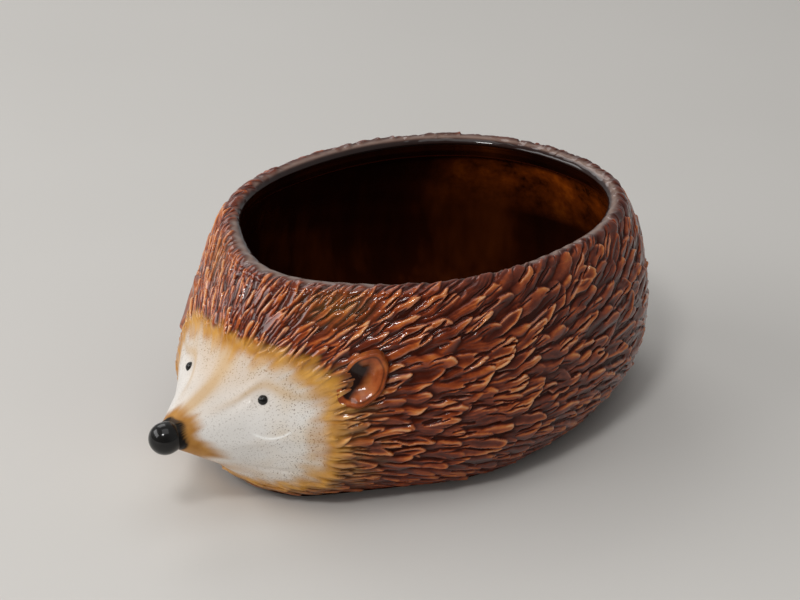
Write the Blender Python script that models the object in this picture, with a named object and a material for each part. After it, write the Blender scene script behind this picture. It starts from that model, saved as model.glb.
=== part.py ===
"""Hedgehog-shaped bowl in glazed ceramic: a hollow cast body with a coat of spines, and the nose, eyes and ears
that are luted onto it. Metres, +Z up. The nose points along -Y, the animal's left side is +X, and the origin is
under the middle of the overall length, at the foot."""

import math

import bmesh
import bpy
import numpy as np
from mathutils import Matrix, Vector

# Overall length, and how the rump and the nose share it
LENGTH = 0.250
SPINE_RISE = 0.0026

# Barrel of the body: a rounded form that is widest at the belly and is cut off by the rim and the foot
HALF_WIDTH = 0.0805
REAR_REACH = 0.1050
FRONT_REACH = 0.0880
BELLY_HEIGHT = 0.0350
CROWN_RISE = 0.0890
KEEL_DROP = 0.0520
ROUNDNESS = 2.2

# Head and snout, which blend into the barrel
HEAD_FORWARD = 0.0675
HEAD_HEIGHT = 0.0400
HEAD_HALF_WIDTH = 0.0365
HEAD_HALF_LENGTH = 0.0360
HEAD_HALF_HEIGHT = 0.0440
CHEEK_FORWARD = 0.0855
CHEEK_HEIGHT = 0.0325
CHEEK_RADIUS = 0.0305
CHEEK_WIDENING = 1.30
SNOUT_TIP_RADIUS = 0.0055
NECK_BLEND = 0.0270
SNOUT_BLEND = 0.0125

# Face: the part of the head that has no spines
FACE_HALF_WIDTH = 0.0395
FACE_HALF_HEIGHT = 0.0285
FACE_HEIGHT = 0.0365
FACE_DEPTH = 0.0500
FACE_SQUARENESS = 3.0
FACE_RINGS = 10
FACE_RING_CROWDING = 1.25

# Wall, rim, floor and foot
WALL = 0.0062
RIM_HEIGHT_FRONT = 0.0868
RIM_HEIGHT_REAR = 0.0812
RIM_CREST = 0.0016
RIM_ROLL = 0.0026
FLOOR_THICKNESS = 0.0070
FLOOR_FILLET = 0.0120
FOOT_ROUNDING = 0.0020
FOOT_RING_WIDTH = 0.0070
FOOT_RECESS = 0.0015

# Spines: a lattice of overlapping diamonds, each with its tip towards the rear
SPINE_LENGTH = 0.0190
SPINE_WIDTH = 0.0060
SPINE_TIP_SHIFT = 0.55
SLOPE_BROW = math.radians(70)
SLOPE_FLANK = math.radians(3)
SLOPE_RUMP = math.radians(40)
BROW_REACH = 0.0300
RUMP_REACH = 0.0500
SPREAD_FRONT = 0.75
SPREAD_REAR = 1.15
SPREAD_HEIGHT = 0.0400
WANDER = 0.0009
WANDER_PITCH = 0.0470
SMALLEST_SPINE = 0.35

# Nose ball, eyes and ears, and the room left round each in its seat
SEAT_GAP = 0.0003
NOSE_RADIUS = 0.0065
NOSE_HEIGHT = 0.0384
NOSE_STAND_OFF = 0.0046
EYE_RADIUS = 0.0019
EYE_HALF_SPACING = 0.0196
EYE_HEIGHT = 0.0490
EYE_SINK = 0.0008
EAR_ANGLE = math.radians(31)
EAR_HEIGHT = 0.0560
EAR_HALF_LENGTH = 0.0092
EAR_HALF_HEIGHT = 0.0094
EAR_RISE = 0.0044
EAR_SEAT_DEPTH = 0.0012
EAR_RIM = 0.0026
EAR_FLOOR = 0.0015
EAR_TURN = math.radians(-12)

# Fineness of the computed surface
INNER_RINGS = 7
ROLL_RINGS = 3

BARREL_Y = LENGTH / 2 - SPINE_RISE - REAR_REACH
HEAD_Y = BARREL_Y - HEAD_FORWARD
CHEEK_Y = BARREL_Y - CHEEK_FORWARD
NOSE_Y = -LENGTH / 2 + NOSE_RADIUS
SNOUT_TIP_Y = NOSE_Y + NOSE_STAND_OFF
FLOOR_HEIGHT = FOOT_RECESS + FLOOR_THICKNESS

CLAY_BROWN = (0.27, 0.075, 0.025)
EAR_BROWN = (0.30, 0.085, 0.030)
GLAZE_BLACK = (0.010, 0.010, 0.010)


def start_scene():
    """Removes whatever the file holds, and makes the two collections."""
    for obj in list(bpy.data.objects):
        bpy.data.objects.remove(obj)
    made = []
    for name in ("hedgehog_bowl", "cutters"):
        collection = bpy.data.collections.new(name)
        bpy.context.scene.collection.children.link(collection)
        made.append(collection)
    return made


def glaze(name, colour, roughness):
    """A glossy fired glaze in one colour."""
    material = bpy.data.materials.new(name)
    material.use_nodes = True
    shader = material.node_tree.nodes["Principled BSDF"]
    shader.inputs["Base Color"].default_value = (*colour, 1)
    shader.inputs["Roughness"].default_value = roughness
    shader.inputs["Metallic"].default_value = 0
    return material


def object_from(bm, name, collection, material=None):
    """A mesh object from a bmesh, which is freed."""
    bmesh.ops.recalc_face_normals(bm, faces=bm.faces)
    mesh = bpy.data.meshes.new(name)
    bm.to_mesh(mesh)
    bm.free()
    obj = bpy.data.objects.new(name, mesh)
    collection.objects.link(obj)
    if material:
        mesh.materials.append(material)
    return obj


def as_cutter(obj):
    obj.hide_render = True
    obj.display_type = "WIRE"
    return obj


def cut(obj, cutter):
    """Takes the cutter's shape out of the object."""
    modifier = obj.modifiers.new("cut_" + cutter.name, "BOOLEAN")
    modifier.operation = "DIFFERENCE"
    modifier.object = cutter


# The outer form is where form_field is zero. It is roughly a distance in metres, negative inside.


def ellipsoid_field(points, centre, half_sizes, power=2.0):
    offset = points - centre
    reach = (np.abs(offset / half_sizes) ** power).sum(-1) ** (1 / power) + 1e-9
    return np.sqrt((offset**2).sum(-1)) * (1 - 1 / reach)


def barrel_field(points):
    offset = points - np.array([0, BARREL_Y, BELLY_HEIGHT])
    half_sizes = np.empty_like(offset)
    half_sizes[..., 0] = HALF_WIDTH
    half_sizes[..., 1] = np.where(offset[..., 1] > 0, REAR_REACH, FRONT_REACH)
    half_sizes[..., 2] = np.where(offset[..., 2] > 0, CROWN_RISE, KEEL_DROP)
    return ellipsoid_field(offset, 0.0, half_sizes, ROUNDNESS)


def snout_field(points):
    """A cone with round ends, from the cheeks to the seat of the nose, made wider than it is tall."""
    points = points / (CHEEK_WIDENING, 1, 1)
    root = np.array([0, CHEEK_Y, CHEEK_HEIGHT])
    axis = np.array([0, SNOUT_TIP_Y, NOSE_HEIGHT]) - root
    along = np.clip((points - root) @ axis / (axis @ axis), 0, 1)
    nearest = root + along[..., None] * axis
    radius = CHEEK_RADIUS + (SNOUT_TIP_RADIUS - CHEEK_RADIUS) * along
    return np.sqrt(((points - nearest) ** 2).sum(-1)) - radius


def smooth_union(a, b, blend):
    share = np.clip(0.5 + 0.5 * (b - a) / blend, 0, 1)
    return b * (1 - share) + a * share - blend * share * (1 - share)


def form_field(points):
    head = ellipsoid_field(
        points,
        np.array([0, HEAD_Y, HEAD_HEIGHT]),
        np.array([HEAD_HALF_WIDTH, HEAD_HALF_LENGTH, HEAD_HALF_HEIGHT]),
    )
    head = smooth_union(head, snout_field(points), SNOUT_BLEND)
    return smooth_union(head, barrel_field(points), NECK_BLEND)


def around(angle, radius, height):
    """Points at an angle from the brow, seen from the barrel's upright axis."""
    return np.stack(
        [radius * np.sin(angle), BARREL_Y - radius * np.cos(angle), height + 0 * angle], -1
    )


def reach_of_form(place, shape, level=0.0):
    """Largest distance at which place(distance) meets the form, or meets the surface at a level inside it."""
    outside = np.full(shape, LENGTH)
    inside = np.zeros(shape)
    found = np.zeros(shape, bool)
    steps = 60
    for k in range(1, steps + 1):
        distance = np.full(shape, LENGTH * (1 - k / steps))
        hit = (form_field(place(distance)) < level) & ~found
        inside[hit] = distance[hit]
        outside[hit] = LENGTH * (1 - (k - 1) / steps)
        found |= hit
    for _ in range(24):
        middle = (inside + outside) / 2
        hit = form_field(place(middle)) < level
        inside = np.where(hit, middle, inside)
        outside = np.where(hit, outside, middle)
    return inside


def form_radius(angle, height, level=0.0):
    """How far the form lies from the barrel's upright axis."""
    return reach_of_form(lambda radius: around(angle, radius, height), angle.shape, level)


def form_front(x, z):
    """Points of the form as seen from the front."""

    def place(distance):
        return np.stack([x, BARREL_Y - distance, z], -1)

    return place(reach_of_form(place, x.shape))


def form_normal(points):
    """Outward direction of the form at each point."""
    step = 1e-4
    gradient = np.stack(
        [form_field(points + step * axis) - form_field(points - step * axis) for axis in np.eye(3)], -1
    )
    return gradient / np.linalg.norm(gradient, axis=-1, keepdims=True)


def in_face(points):
    """Whether each point lies in the smooth face, and not in the spines."""
    x, y, z = points[..., 0], points[..., 1], points[..., 2]
    reach = np.abs(x / FACE_HALF_WIDTH) ** FACE_SQUARENESS
    reach += np.abs((z - FACE_HEIGHT) / FACE_HALF_HEIGHT) ** FACE_SQUARENESS
    return (reach < 1) & (y < -FACE_DEPTH)


# The wall is laid out flat first: u runs back round half of the belly, and v runs up from the foot to the rim.


class Layout:
    """Turns flat positions into points on the wall."""

    def __init__(self):
        angle = np.linspace(0, math.pi, 721)
        x = HALF_WIDTH * np.sin(angle)
        y = -np.cos(angle) * np.where(angle > math.pi / 2, REAR_REACH, FRONT_REACH)
        girth = np.hypot(np.diff(x), np.diff(y))
        self.angles = np.arctan2(x, -y)
        self.girth = np.concatenate([[0], np.cumsum(girth)])
        share = np.linspace(0, 1, 161)
        side = np.full_like(share, math.pi / 2)
        height = self.height_at(side, share)
        step = np.hypot(np.diff(height), np.diff(form_radius(side, height)))
        self.shares = share
        self.climb = np.concatenate([[0], np.cumsum(step)])

    @staticmethod
    def rim_height(angle):
        """Height of the wall below its rolled rim."""
        middle = (RIM_HEIGHT_FRONT + RIM_HEIGHT_REAR) / 2 + RIM_CREST * np.sin(angle) ** 2
        return middle + (RIM_HEIGHT_FRONT - RIM_HEIGHT_REAR) / 2 * np.cos(angle) - RIM_ROLL

    def height_at(self, angle, share):
        return FOOT_ROUNDING + (self.rim_height(angle) - FOOT_ROUNDING) * share

    def place(self, u, v):
        """Angle and height of a flat position, with the animal's right side at negative u."""
        angle = np.copysign(np.interp(np.abs(u), self.girth, self.angles), u)
        return angle, self.height_at(angle, np.interp(v, self.climb, self.shares))

    def points(self, u, v, rise):
        angle, height = self.place(u, v)
        found = around(angle, form_radius(angle, height), height)
        return found + form_normal(found) * rise[..., None]


def spine_slope(u, girth):
    """How steeply the spines climb towards the rear: upright on the brow, nearly level on the flank."""
    brow = (SLOPE_BROW - SLOPE_FLANK) * math.exp(-((u / BROW_REACH) ** 2))
    rump = (SLOPE_RUMP - SLOPE_FLANK) * math.exp(-(((girth - u) / RUMP_REACH) ** 2))
    return SLOPE_FLANK + brow + rump


def flow_lines(girth):
    """Where a row of spines runs: u and the climb in v after each half spine."""
    parts = 12
    u, climb = [0.0], [0.0]
    while u[-1] < girth + SPINE_LENGTH:
        slope = spine_slope(u[-1], girth)
        u.append(u[-1] + SPINE_LENGTH / 2 / parts * math.cos(slope))
        climb.append(climb[-1] + SPINE_LENGTH / 2 / parts * math.sin(slope))
    count = len(u)
    behind = 4 * parts
    u = [-u[k] for k in range(behind, 0, -1)] + u
    climb = [-climb[k] for k in range(behind, 0, -1)] + climb
    return (np.arange(count + behind) - behind) / parts, np.array(u), np.array(climb)


def positions(verts):
    return np.array([v.co for v in verts], float).reshape(-1, 3)


def move_to(verts, points):
    for vert, point in zip(verts, points):
        vert.co = point


def spine_lattice(layout):
    """The wall as a flat sheet of diamonds along the rows, trimmed to its edges and mirrored."""
    girth, height = layout.girth[-1], layout.climb[-1]
    halves, row_u, row_climb = flow_lines(girth)
    columns = int(halves[-1]) + 4
    rows = int((height + row_climb[-1]) / (SPINE_WIDTH / 2)) + 8
    cells = columns + rows
    bm = bmesh.new()
    bmesh.ops.create_grid(bm, x_segments=cells, y_segments=cells, size=cells / 2)
    corners = positions(bm.verts)
    first_row = -int(row_climb[-1] / (SPINE_WIDTH / 2)) - 4
    along = np.round(corners[:, 0] + corners[:, 1]) + round(columns / 2) - 2
    across = np.round(corners[:, 1] - corners[:, 0]) + first_row + round(rows / 2)
    u = np.interp(along, halves, row_u)
    v = np.interp(along, halves, row_climb) + across * SPINE_WIDTH / 2
    spread = np.interp(u, [0, girth], [SPREAD_FRONT, SPREAD_REAR])
    v = SPREAD_HEIGHT + (v - SPREAD_HEIGHT) * spread
    v = v + WANDER * np.sin(2 * math.pi * (u + 1.7 * v) / WANDER_PITCH) * np.minimum(1, u / WANDER_PITCH)
    outside = (along < halves[0]) | (along > halves[-1])
    move_to(bm.verts, np.stack([u, v, np.zeros_like(u)], -1))
    spare = [vert for vert, off in zip(bm.verts, outside) if off]
    bmesh.ops.delete(bm, geom=spare, context="VERTS")
    whole = bm.faces.layers.float.new("whole_area")
    for face in bm.faces:
        face[whole] = face.calc_area()
    for place, away in (((0, 0), (-1, 0)), ((girth, 0), (1, 0)), ((0, 0), (0, -1)), ((0, height), (0, 1))):
        bmesh.ops.bisect_plane(
            bm,
            geom=bm.verts[:] + bm.edges[:] + bm.faces[:],
            dist=SPINE_WIDTH / 50,
            plane_co=(*place, 0),
            plane_no=(*away, 0),
            clear_outer=True,
        )
    for vert in bm.verts:
        if vert.co.x < SPINE_WIDTH / 50:
            vert.co.x = 0
    bmesh.ops.mirror(bm, geom=bm.verts[:] + bm.edges[:] + bm.faces[:], axis="X", merge_dist=1e-5)
    return bm


def hanging_together(items, near):
    """Items in groups that hang together. The order is the same in each build."""
    left = dict.fromkeys(items)
    groups = []
    while left:
        todo = [next(iter(left))]
        del left[todo[0]]
        groups.append([])
        while todo:
            item = todo.pop()
            groups[-1].append(item)
            for other in near(item):
                if other in left:
                    del left[other]
                    todo.append(other)
    return groups


def fans(vert):
    """The faces at a corner, in groups that hang together by their edges."""

    def near(face):
        return [f for e in face.edges if vert in e.verts for f in e.link_faces]

    return hanging_together(vert.link_faces, near)


def open_face(bm, layout):
    """Takes the diamonds in the smooth face out of the flat sheet, and any left hanging by a corner."""
    middle = Vector((0, FACE_HEIGHT, 0))
    middles = np.array([face.calc_center_median() for face in bm.faces])
    smooth = in_face(layout.points(middles[:, 0], middles[:, 1], np.zeros(len(middles))))
    lowest = np.array([min(vert.co.y for vert in face.verts) for face in bm.faces])
    spare = [face for face, off in zip(bm.faces, smooth & (lowest > SPINE_WIDTH / 50)) if off]
    while spare:
        bmesh.ops.delete(bm, geom=spare, context="FACES")
        spare = {}
        for groups in (fans(vert) for vert in bm.verts):
            groups.sort(key=lambda group: max((f.calc_center_median() - middle).length for f in group))
            for group in groups[:-1]:
                spare.update(dict.fromkeys(group))
        spare = list(spare)


def raise_spines(bm, layout):
    """Gives each diamond a raised tip towards the rear, and wraps the sheet onto the form."""
    whole = bm.faces.layers.float["whole_area"]
    rise = bm.verts.layers.float.new("rise")
    for face in list(bm.faces):
        share = face.calc_area() / face[whole]
        if share < SMALLEST_SPINE:
            continue
        tip = max((vert.co.copy() for vert in face.verts), key=lambda co: abs(co.x))
        apex = bmesh.ops.poke(bm, faces=[face])["verts"][0]
        apex.co = apex.co.lerp(tip, SPINE_TIP_SHIFT)
        apex[rise] = SPINE_RISE * share
    heights = np.array([vert[rise] for vert in bm.verts])
    flat = positions(bm.verts)
    move_to(bm.verts, layout.points(flat[:, 0], flat[:, 1], heights))


def in_order(loop):
    """The corners of a closed loop of edges, one after the other."""
    edge = loop[0]
    vert = edge.verts[0]
    inside = set(loop)
    found = []
    for _ in loop:
        found.append(vert)
        vert = edge.other_vert(vert)
        edge = next(e for e in vert.link_edges if e in inside and e is not edge)
    return found


def open_loops(bm):
    """The loops of open edges: the foot's, the rim's and, until it is filled, the face's."""

    def near(edge):
        return [e for vert in edge.verts for e in vert.link_edges]

    return hanging_together([e for e in bm.edges if e.is_boundary], near)


def middle_of(loop):
    return positions([vert for edge in loop for vert in edge.verts]).mean(0)


def close_face(bm):
    """Fills the face with rings that shrink towards the seat of the nose, each evener than the one before."""
    loop = min(open_loops(bm), key=lambda found: middle_of(found)[1])
    for k in range(1, FACE_RINGS):
        made = bmesh.ops.extrude_edge_only(bm, edges=loop)["geom"]
        loop = [g for g in made if isinstance(g, bmesh.types.BMEdge)]
        verts = in_order(loop)
        offset = positions(verts)[:, (0, 2)] - (0, NOSE_HEIGHT)
        for _ in range(6):
            offset = (np.roll(offset, 1, 0) + 2 * offset + np.roll(offset, -1, 0)) / 4
        offset *= ((FACE_RINGS - k) / (FACE_RINGS + 1 - k)) ** FACE_RING_CROWDING
        move_to(verts, form_front(offset[:, 0], NOSE_HEIGHT + offset[:, 1]))
    middle = bmesh.ops.holes_fill(bm, edges=loop, sides=0)["faces"]
    bmesh.ops.poke(bm, faces=middle)


def edge_loop(bm, upper):
    """The wall's open edge at the rim or at the foot."""
    pick = max if upper else min
    return pick(open_loops(bm), key=lambda found: middle_of(found)[2])


def add_ring(bm, loop, place):
    """Extrudes an open edge to a new ring, whose points are placed by their angle round the bowl."""
    made = bmesh.ops.extrude_edge_only(bm, edges=loop)["geom"]
    verts = [g for g in made if isinstance(g, bmesh.types.BMVert)]
    old = positions(verts)
    angle = np.arctan2(old[:, 0], BARREL_Y - old[:, 1])
    move_to(verts, place(angle))
    return [g for g in made if isinstance(g, bmesh.types.BMEdge)]


def inner_radius(angle, height):
    """The hollow follows the outside at one wall's depth, and is rounded into the floor."""
    radius = form_radius(angle, np.maximum(height, FLOOR_HEIGHT), -WALL)
    left = np.clip(FLOOR_FILLET - (height - FLOOR_HEIGHT), 0, FLOOR_FILLET)
    return radius - (FLOOR_FILLET - np.sqrt(FLOOR_FILLET**2 - left**2))


def add_rim_and_hollow(bm, layout):
    """Rolls the rim over, and takes the inside down to a flat floor."""
    loop = edge_loop(bm, upper=True)

    def roll(turn):
        def place(angle):
            height = layout.rim_height(angle)
            outer, inner = form_radius(angle, height), inner_radius(angle, height)
            radius = (outer + inner) / 2 + (outer - inner) / 2 * math.cos(turn)
            return around(angle, radius, height + RIM_ROLL * math.sin(turn))

        return place

    def wall(share):
        def place(angle):
            height = layout.rim_height(angle) + (FLOOR_HEIGHT - layout.rim_height(angle)) * share
            return around(angle, inner_radius(angle, height), height)

        return place

    for k in range(1, ROLL_RINGS + 1):
        loop = add_ring(bm, loop, roll(math.pi * k / (ROLL_RINGS + 1)))
    for k in range(INNER_RINGS + 1):
        loop = add_ring(bm, loop, wall(math.sin(math.pi / 2 * k / INNER_RINGS)))
    bmesh.ops.holes_fill(bm, edges=loop, sides=0)


def add_foot(bm):
    """Turns the wall under into a flat foot ring round a shallow recess."""
    loop = edge_loop(bm, upper=False)

    def at(inset, height):
        def place(angle):
            foot = form_radius(angle, np.full_like(angle, FOOT_ROUNDING))
            return around(angle, foot - inset, height)

        return place

    ring = FOOT_ROUNDING + FOOT_RING_WIDTH
    for inset, height in (
        (FOOT_ROUNDING * 0.3, FOOT_ROUNDING * 0.3),
        (FOOT_ROUNDING, 0.0),
        (ring, 0.0),
        (ring + FOOT_RECESS, FOOT_RECESS),
    ):
        loop = add_ring(bm, loop, at(inset, height))
    bmesh.ops.holes_fill(bm, edges=loop, sides=0)


def make_body(collection, material):
    """The cast body: spiny wall and smooth face outside, rolled rim, hollow, and foot."""
    layout = Layout()
    bm = spine_lattice(layout)
    open_face(bm, layout)
    raise_spines(bm, layout)
    bmesh.ops.remove_doubles(bm, verts=bm.verts, dist=1e-5)
    close_face(bm)
    add_rim_and_hollow(bm, layout)
    add_foot(bm)
    # A bent four-sided face is split along its shorter diagonal here, or the cuts would choose one at random
    bent = [face for face in bm.faces if len(face.verts) == 4]
    bmesh.ops.triangulate(bm, faces=bent, quad_method="SHORT_EDGE")
    return object_from(bm, "bowl_body", collection, material)


def ball(name, radius, centre, collection, material=None, segments=24, rings=16):
    bm = bmesh.new()
    bmesh.ops.create_uvsphere(bm, u_segments=segments, v_segments=rings, radius=radius)
    obj = object_from(bm, name, collection, material)
    obj.location = centre
    obj.data.shade_smooth()
    return obj


def surface_frame(angle, height, turn=0.0):
    """A place on the form: +Z stands out of it, +X runs level towards the rear, and turn tips +X upwards."""
    angle = np.array([angle])
    point = around(angle, form_radius(angle, np.array([height])), np.array([height]))
    out = Vector(form_normal(point)[0])
    back = Vector((0, 0, 1)).cross(out).normalized()
    matrix = Matrix((back, out.cross(back), out)).transposed().to_4x4()
    return Matrix.Translation(Vector(point[0])) @ matrix @ Matrix.Rotation(turn, 4, "Z")


def make_nose(body, collection, cutters, material):
    """A round clay ball in a dished seat at the end of the snout."""
    centre = (0, NOSE_Y, NOSE_HEIGHT)
    ball("nose_ball", NOSE_RADIUS, centre, collection, material)
    cut(body, as_cutter(ball("nose_seat", NOSE_RADIUS + SEAT_GAP, centre, cutters)))


def eye_centre(side):
    """Just under the face's surface, at the eye's spacing and height."""
    angles = np.linspace(0, math.pi / 4, 400)
    found = around(angles, form_radius(angles, np.full_like(angles, EYE_HEIGHT)), EYE_HEIGHT)
    point = found[np.argmin(np.abs(found[:, 0] - EYE_HALF_SPACING))]
    centre = point - form_normal(point[None])[0] * EYE_SINK
    return (side * centre[0], centre[1], centre[2])


def make_eyes(body, collection, cutters, material):
    """A small black bead in a socket on each side of the snout."""
    for name, side in (("left", 1), ("right", -1)):
        centre = eye_centre(side)
        ball(f"{name}_eye", EYE_RADIUS, centre, collection, material, 16, 10)
        socket = ball(f"{name}_eye_socket", EYE_RADIUS + SEAT_GAP, centre, cutters, None, 16, 10)
        cut(body, as_cutter(socket))


def ear_form(name, grow, collection, material=None):
    """A flattened round pad with a flat back, sunk into the surface by the seat's depth."""
    bm = bmesh.new()
    bmesh.ops.create_uvsphere(bm, u_segments=24, v_segments=12, radius=1)
    size = Vector((EAR_HALF_LENGTH + grow, EAR_HALF_HEIGHT + grow, EAR_RISE + grow))
    bmesh.ops.scale(bm, verts=bm.verts, vec=size)
    cut_plane = bmesh.ops.bisect_plane(
        bm,
        geom=bm.verts[:] + bm.edges[:] + bm.faces[:],
        plane_co=(0, 0, -EAR_SEAT_DEPTH - grow),
        plane_no=(0, 0, -1),
        clear_outer=True,
    )
    rim = [g for g in cut_plane["geom_cut"] if isinstance(g, bmesh.types.BMEdge)]
    bmesh.ops.holes_fill(bm, edges=rim, sides=0)
    return object_from(bm, name, collection, material)


def ear_hollow(name, collection):
    """The dish that leaves the ear as a rim, thick behind and open towards the face."""
    bm = bmesh.new()
    bmesh.ops.create_uvsphere(bm, u_segments=24, v_segments=12, radius=1)
    size = Vector((EAR_HALF_LENGTH, EAR_HALF_HEIGHT - EAR_RIM, EAR_RISE))
    bmesh.ops.scale(bm, verts=bm.verts, vec=size)
    bmesh.ops.translate(bm, verts=bm.verts, vec=(-EAR_RIM, 0, EAR_RISE + EAR_FLOOR - EAR_SEAT_DEPTH))
    return as_cutter(object_from(bm, name, collection))


def make_ears(body, collection, cutters, material):
    """Two dished ears, mirror images, each on a flat seat let into the body."""
    frame = surface_frame(EAR_ANGLE, EAR_HEIGHT, EAR_TURN)
    for name, side in (("left", 1), ("right", -1)):
        ear = ear_form(f"{name}_ear", 0, collection, material)
        hollow = ear_hollow(f"{name}_ear_dish", cutters)
        seat = as_cutter(ear_form(f"{name}_ear_seat", SEAT_GAP, cutters))
        for obj in (ear, hollow, seat):
            obj.data.transform(Matrix.Diagonal((side, 1, 1, 1)) @ frame)
            if side < 0:
                obj.data.flip_normals()
        ear.data.shade_smooth()
        cut(ear, hollow)
        cut(body, seat)


def main():
    parts, cutters = start_scene()
    brown = glaze("brown_glaze", CLAY_BROWN, 0.18)
    ear_brown = glaze("ear_glaze", EAR_BROWN, 0.18)
    black = glaze("black_glaze", GLAZE_BLACK, 0.06)
    body = make_body(parts, brown)
    make_nose(body, parts, cutters, black)
    make_eyes(body, parts, cutters, black)
    make_ears(body, parts, cutters, ear_brown)


main()
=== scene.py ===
# %% [markdown]
# # A hedgehog-shaped bowl in glazed ceramic
#
# The real bowl is cast from liquid clay in a plaster mould. Its coat of spines is carved, small
# clay parts are stuck on for the nose, eyes and ears, and the whole is dipped in runny glazes. The
# packed CAD model is the fixed frame: every piece below lies on it, in metres, with the nose
# towards -Y.

# %% Load the packed model
import math

import bmesh
import bpy
import numpy as np
from mathutils import Matrix, Vector


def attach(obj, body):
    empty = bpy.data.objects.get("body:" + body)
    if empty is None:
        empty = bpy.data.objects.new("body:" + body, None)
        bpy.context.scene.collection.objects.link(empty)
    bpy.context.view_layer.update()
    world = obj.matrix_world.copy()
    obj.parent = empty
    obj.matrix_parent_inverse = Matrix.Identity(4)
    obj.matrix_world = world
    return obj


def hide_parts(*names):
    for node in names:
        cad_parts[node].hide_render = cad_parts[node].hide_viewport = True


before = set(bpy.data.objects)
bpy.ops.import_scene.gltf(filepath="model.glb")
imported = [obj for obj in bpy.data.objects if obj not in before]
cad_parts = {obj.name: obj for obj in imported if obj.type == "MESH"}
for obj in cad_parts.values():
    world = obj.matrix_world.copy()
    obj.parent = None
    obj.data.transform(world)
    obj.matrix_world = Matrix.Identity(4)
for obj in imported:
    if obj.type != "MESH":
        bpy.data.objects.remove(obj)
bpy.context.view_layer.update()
print("CAD nodes:", sorted(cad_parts))

# %% [markdown]
# ## Camera, floor and light
#
# The photograph was taken with a long lens from about 26 degrees above the table, off the animal's
# left cheek. A long lens keeps the bowl's lines almost parallel. The place and the focal length
# were worked out from the outline, the rim, the nose and the eyes, so they are plain numbers here.

# %% Camera
CAMERA_PLACE = Vector((0.5944, -0.6423, 0.4861))
CAMERA_TARGET = Vector((-0.0091, 0.0195, 0.0415))
LENS_MM, SENSOR_MM = 110.95, 36.0


def put_in_scene(name, data):
    """A new object with that camera, lamp or mesh."""
    obj = bpy.data.objects.new(name, data)
    bpy.context.scene.collection.objects.link(obj)
    return obj


camera_data = bpy.data.cameras.new("camera")
camera_data.lens = LENS_MM
camera_data.sensor_width = SENSOR_MM
camera_data.clip_start = 0.01
camera = put_in_scene("camera", camera_data)
camera.location = CAMERA_PLACE
camera.rotation_euler = (CAMERA_TARGET - CAMERA_PLACE).to_track_quat("-Z", "Y").to_euler()
bpy.context.scene.camera = camera
bpy.context.scene.view_settings.view_transform = "Standard"
print("camera distance", round((CAMERA_TARGET - CAMERA_PLACE).length, 3), "m")

# %% [markdown]
# Glaze shows its gloss only if there is something to mirror, and the highlights in the photograph
# say where the lights stood: a wide window low on the left, and a small high one over the animal's
# left shoulder, which gives the sparks on the spines and the glint on the far rim. A soft box on
# the far left throws the shadow to the right, and a wide ceiling lamp lights the rest evenly. The
# fifth lamp is the light that a pale table throws back under the chin. That light has no shape of
# its own, so the glaze doesn't mirror the lamp. The world is a pale grey that grows darker towards
# the camera, as a room does behind the photographer, so the near flank stays deep in colour.

# %% Soft boxes and world
def soft_box(name, azimuth, elevation, distance, size, power):
    """A lamp that faces the bowl. Azimuth 0 is in front of the nose and 90 beside the near flank."""
    turned, raised = math.radians(azimuth), math.radians(elevation)
    level = math.cos(raised)
    way = Vector((math.sin(turned) * level, -math.cos(turned) * level, math.sin(raised)))
    lamp = bpy.data.lights.new(name, "AREA")
    lamp.shape = "RECTANGLE"
    lamp.size, lamp.size_y = size
    lamp.energy = power
    box = put_in_scene(name, lamp)
    box.location = Vector((0, 0, 0.04)) + way * distance
    box.rotation_euler = (-way).to_track_quat("-Z", "Y").to_euler()
    return box


LAMPS = (  # name, azimuth and elevation in degrees, distance, size, power
    ("window", -42, 33, 1.5, (1.5, 0.5), 9.8),
    ("high_window", 24, 52, 1.4, (0.24, 0.18), 4.8),
    ("side_light", -112, 42, 1.7, (0.9, 0.9), 5.0),
    ("low_fill", -4, 3, 1.3, (0.9, 0.20), 6.4),
    ("ceiling", 60, 78, 1.7, (1.2, 1.2), 5.7),
)
lamps = {lamp[0]: soft_box(*lamp) for lamp in LAMPS}
lamps["low_fill"].visible_glossy = False

ROOM_FACING, ROOM_STRENGTH = (0.35, -0.94, 0.0), 0.55
ROOM_GREYS = ((0.0, 0.60), (0.75, 0.20))


def make_room():
    world = bpy.data.worlds.new("studio")
    bpy.context.scene.world = world
    world.use_nodes = True
    nodes, links = world.node_tree.nodes, world.node_tree.links
    facing = nodes.new("ShaderNodeVectorMath")
    facing.operation = "DOT_PRODUCT"
    facing.inputs[1].default_value = ROOM_FACING
    shade = nodes.new("ShaderNodeValToRGB")
    for element, (position, grey) in zip(shade.color_ramp.elements, ROOM_GREYS):
        element.position, element.color = position, (grey, grey, grey, 1)
    links.new(nodes.new("ShaderNodeTexCoord").outputs["Generated"], facing.inputs[0])
    links.new(facing.outputs["Value"], shade.inputs["Fac"])
    links.new(shade.outputs["Color"], nodes["Background"].inputs["Color"])
    nodes["Background"].inputs["Strength"].default_value = ROOM_STRENGTH


make_room()
print("lamps:", ", ".join(lamps))

# %% [markdown]
# The floor is one big sheet of matt, warm pale grey. It only has to take the shadow.

# %% Floor
FLOOR_REACH, FLOOR_TONES = 6.0, ((0.577, 0.556, 0.525, 1), (0.608, 0.587, 0.556, 1))


def mesh_of(bm, name):
    """The same form as a mesh. The bmesh is freed."""
    mesh = bpy.data.meshes.new(name)
    bm.to_mesh(mesh)
    bm.free()
    return mesh


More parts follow.
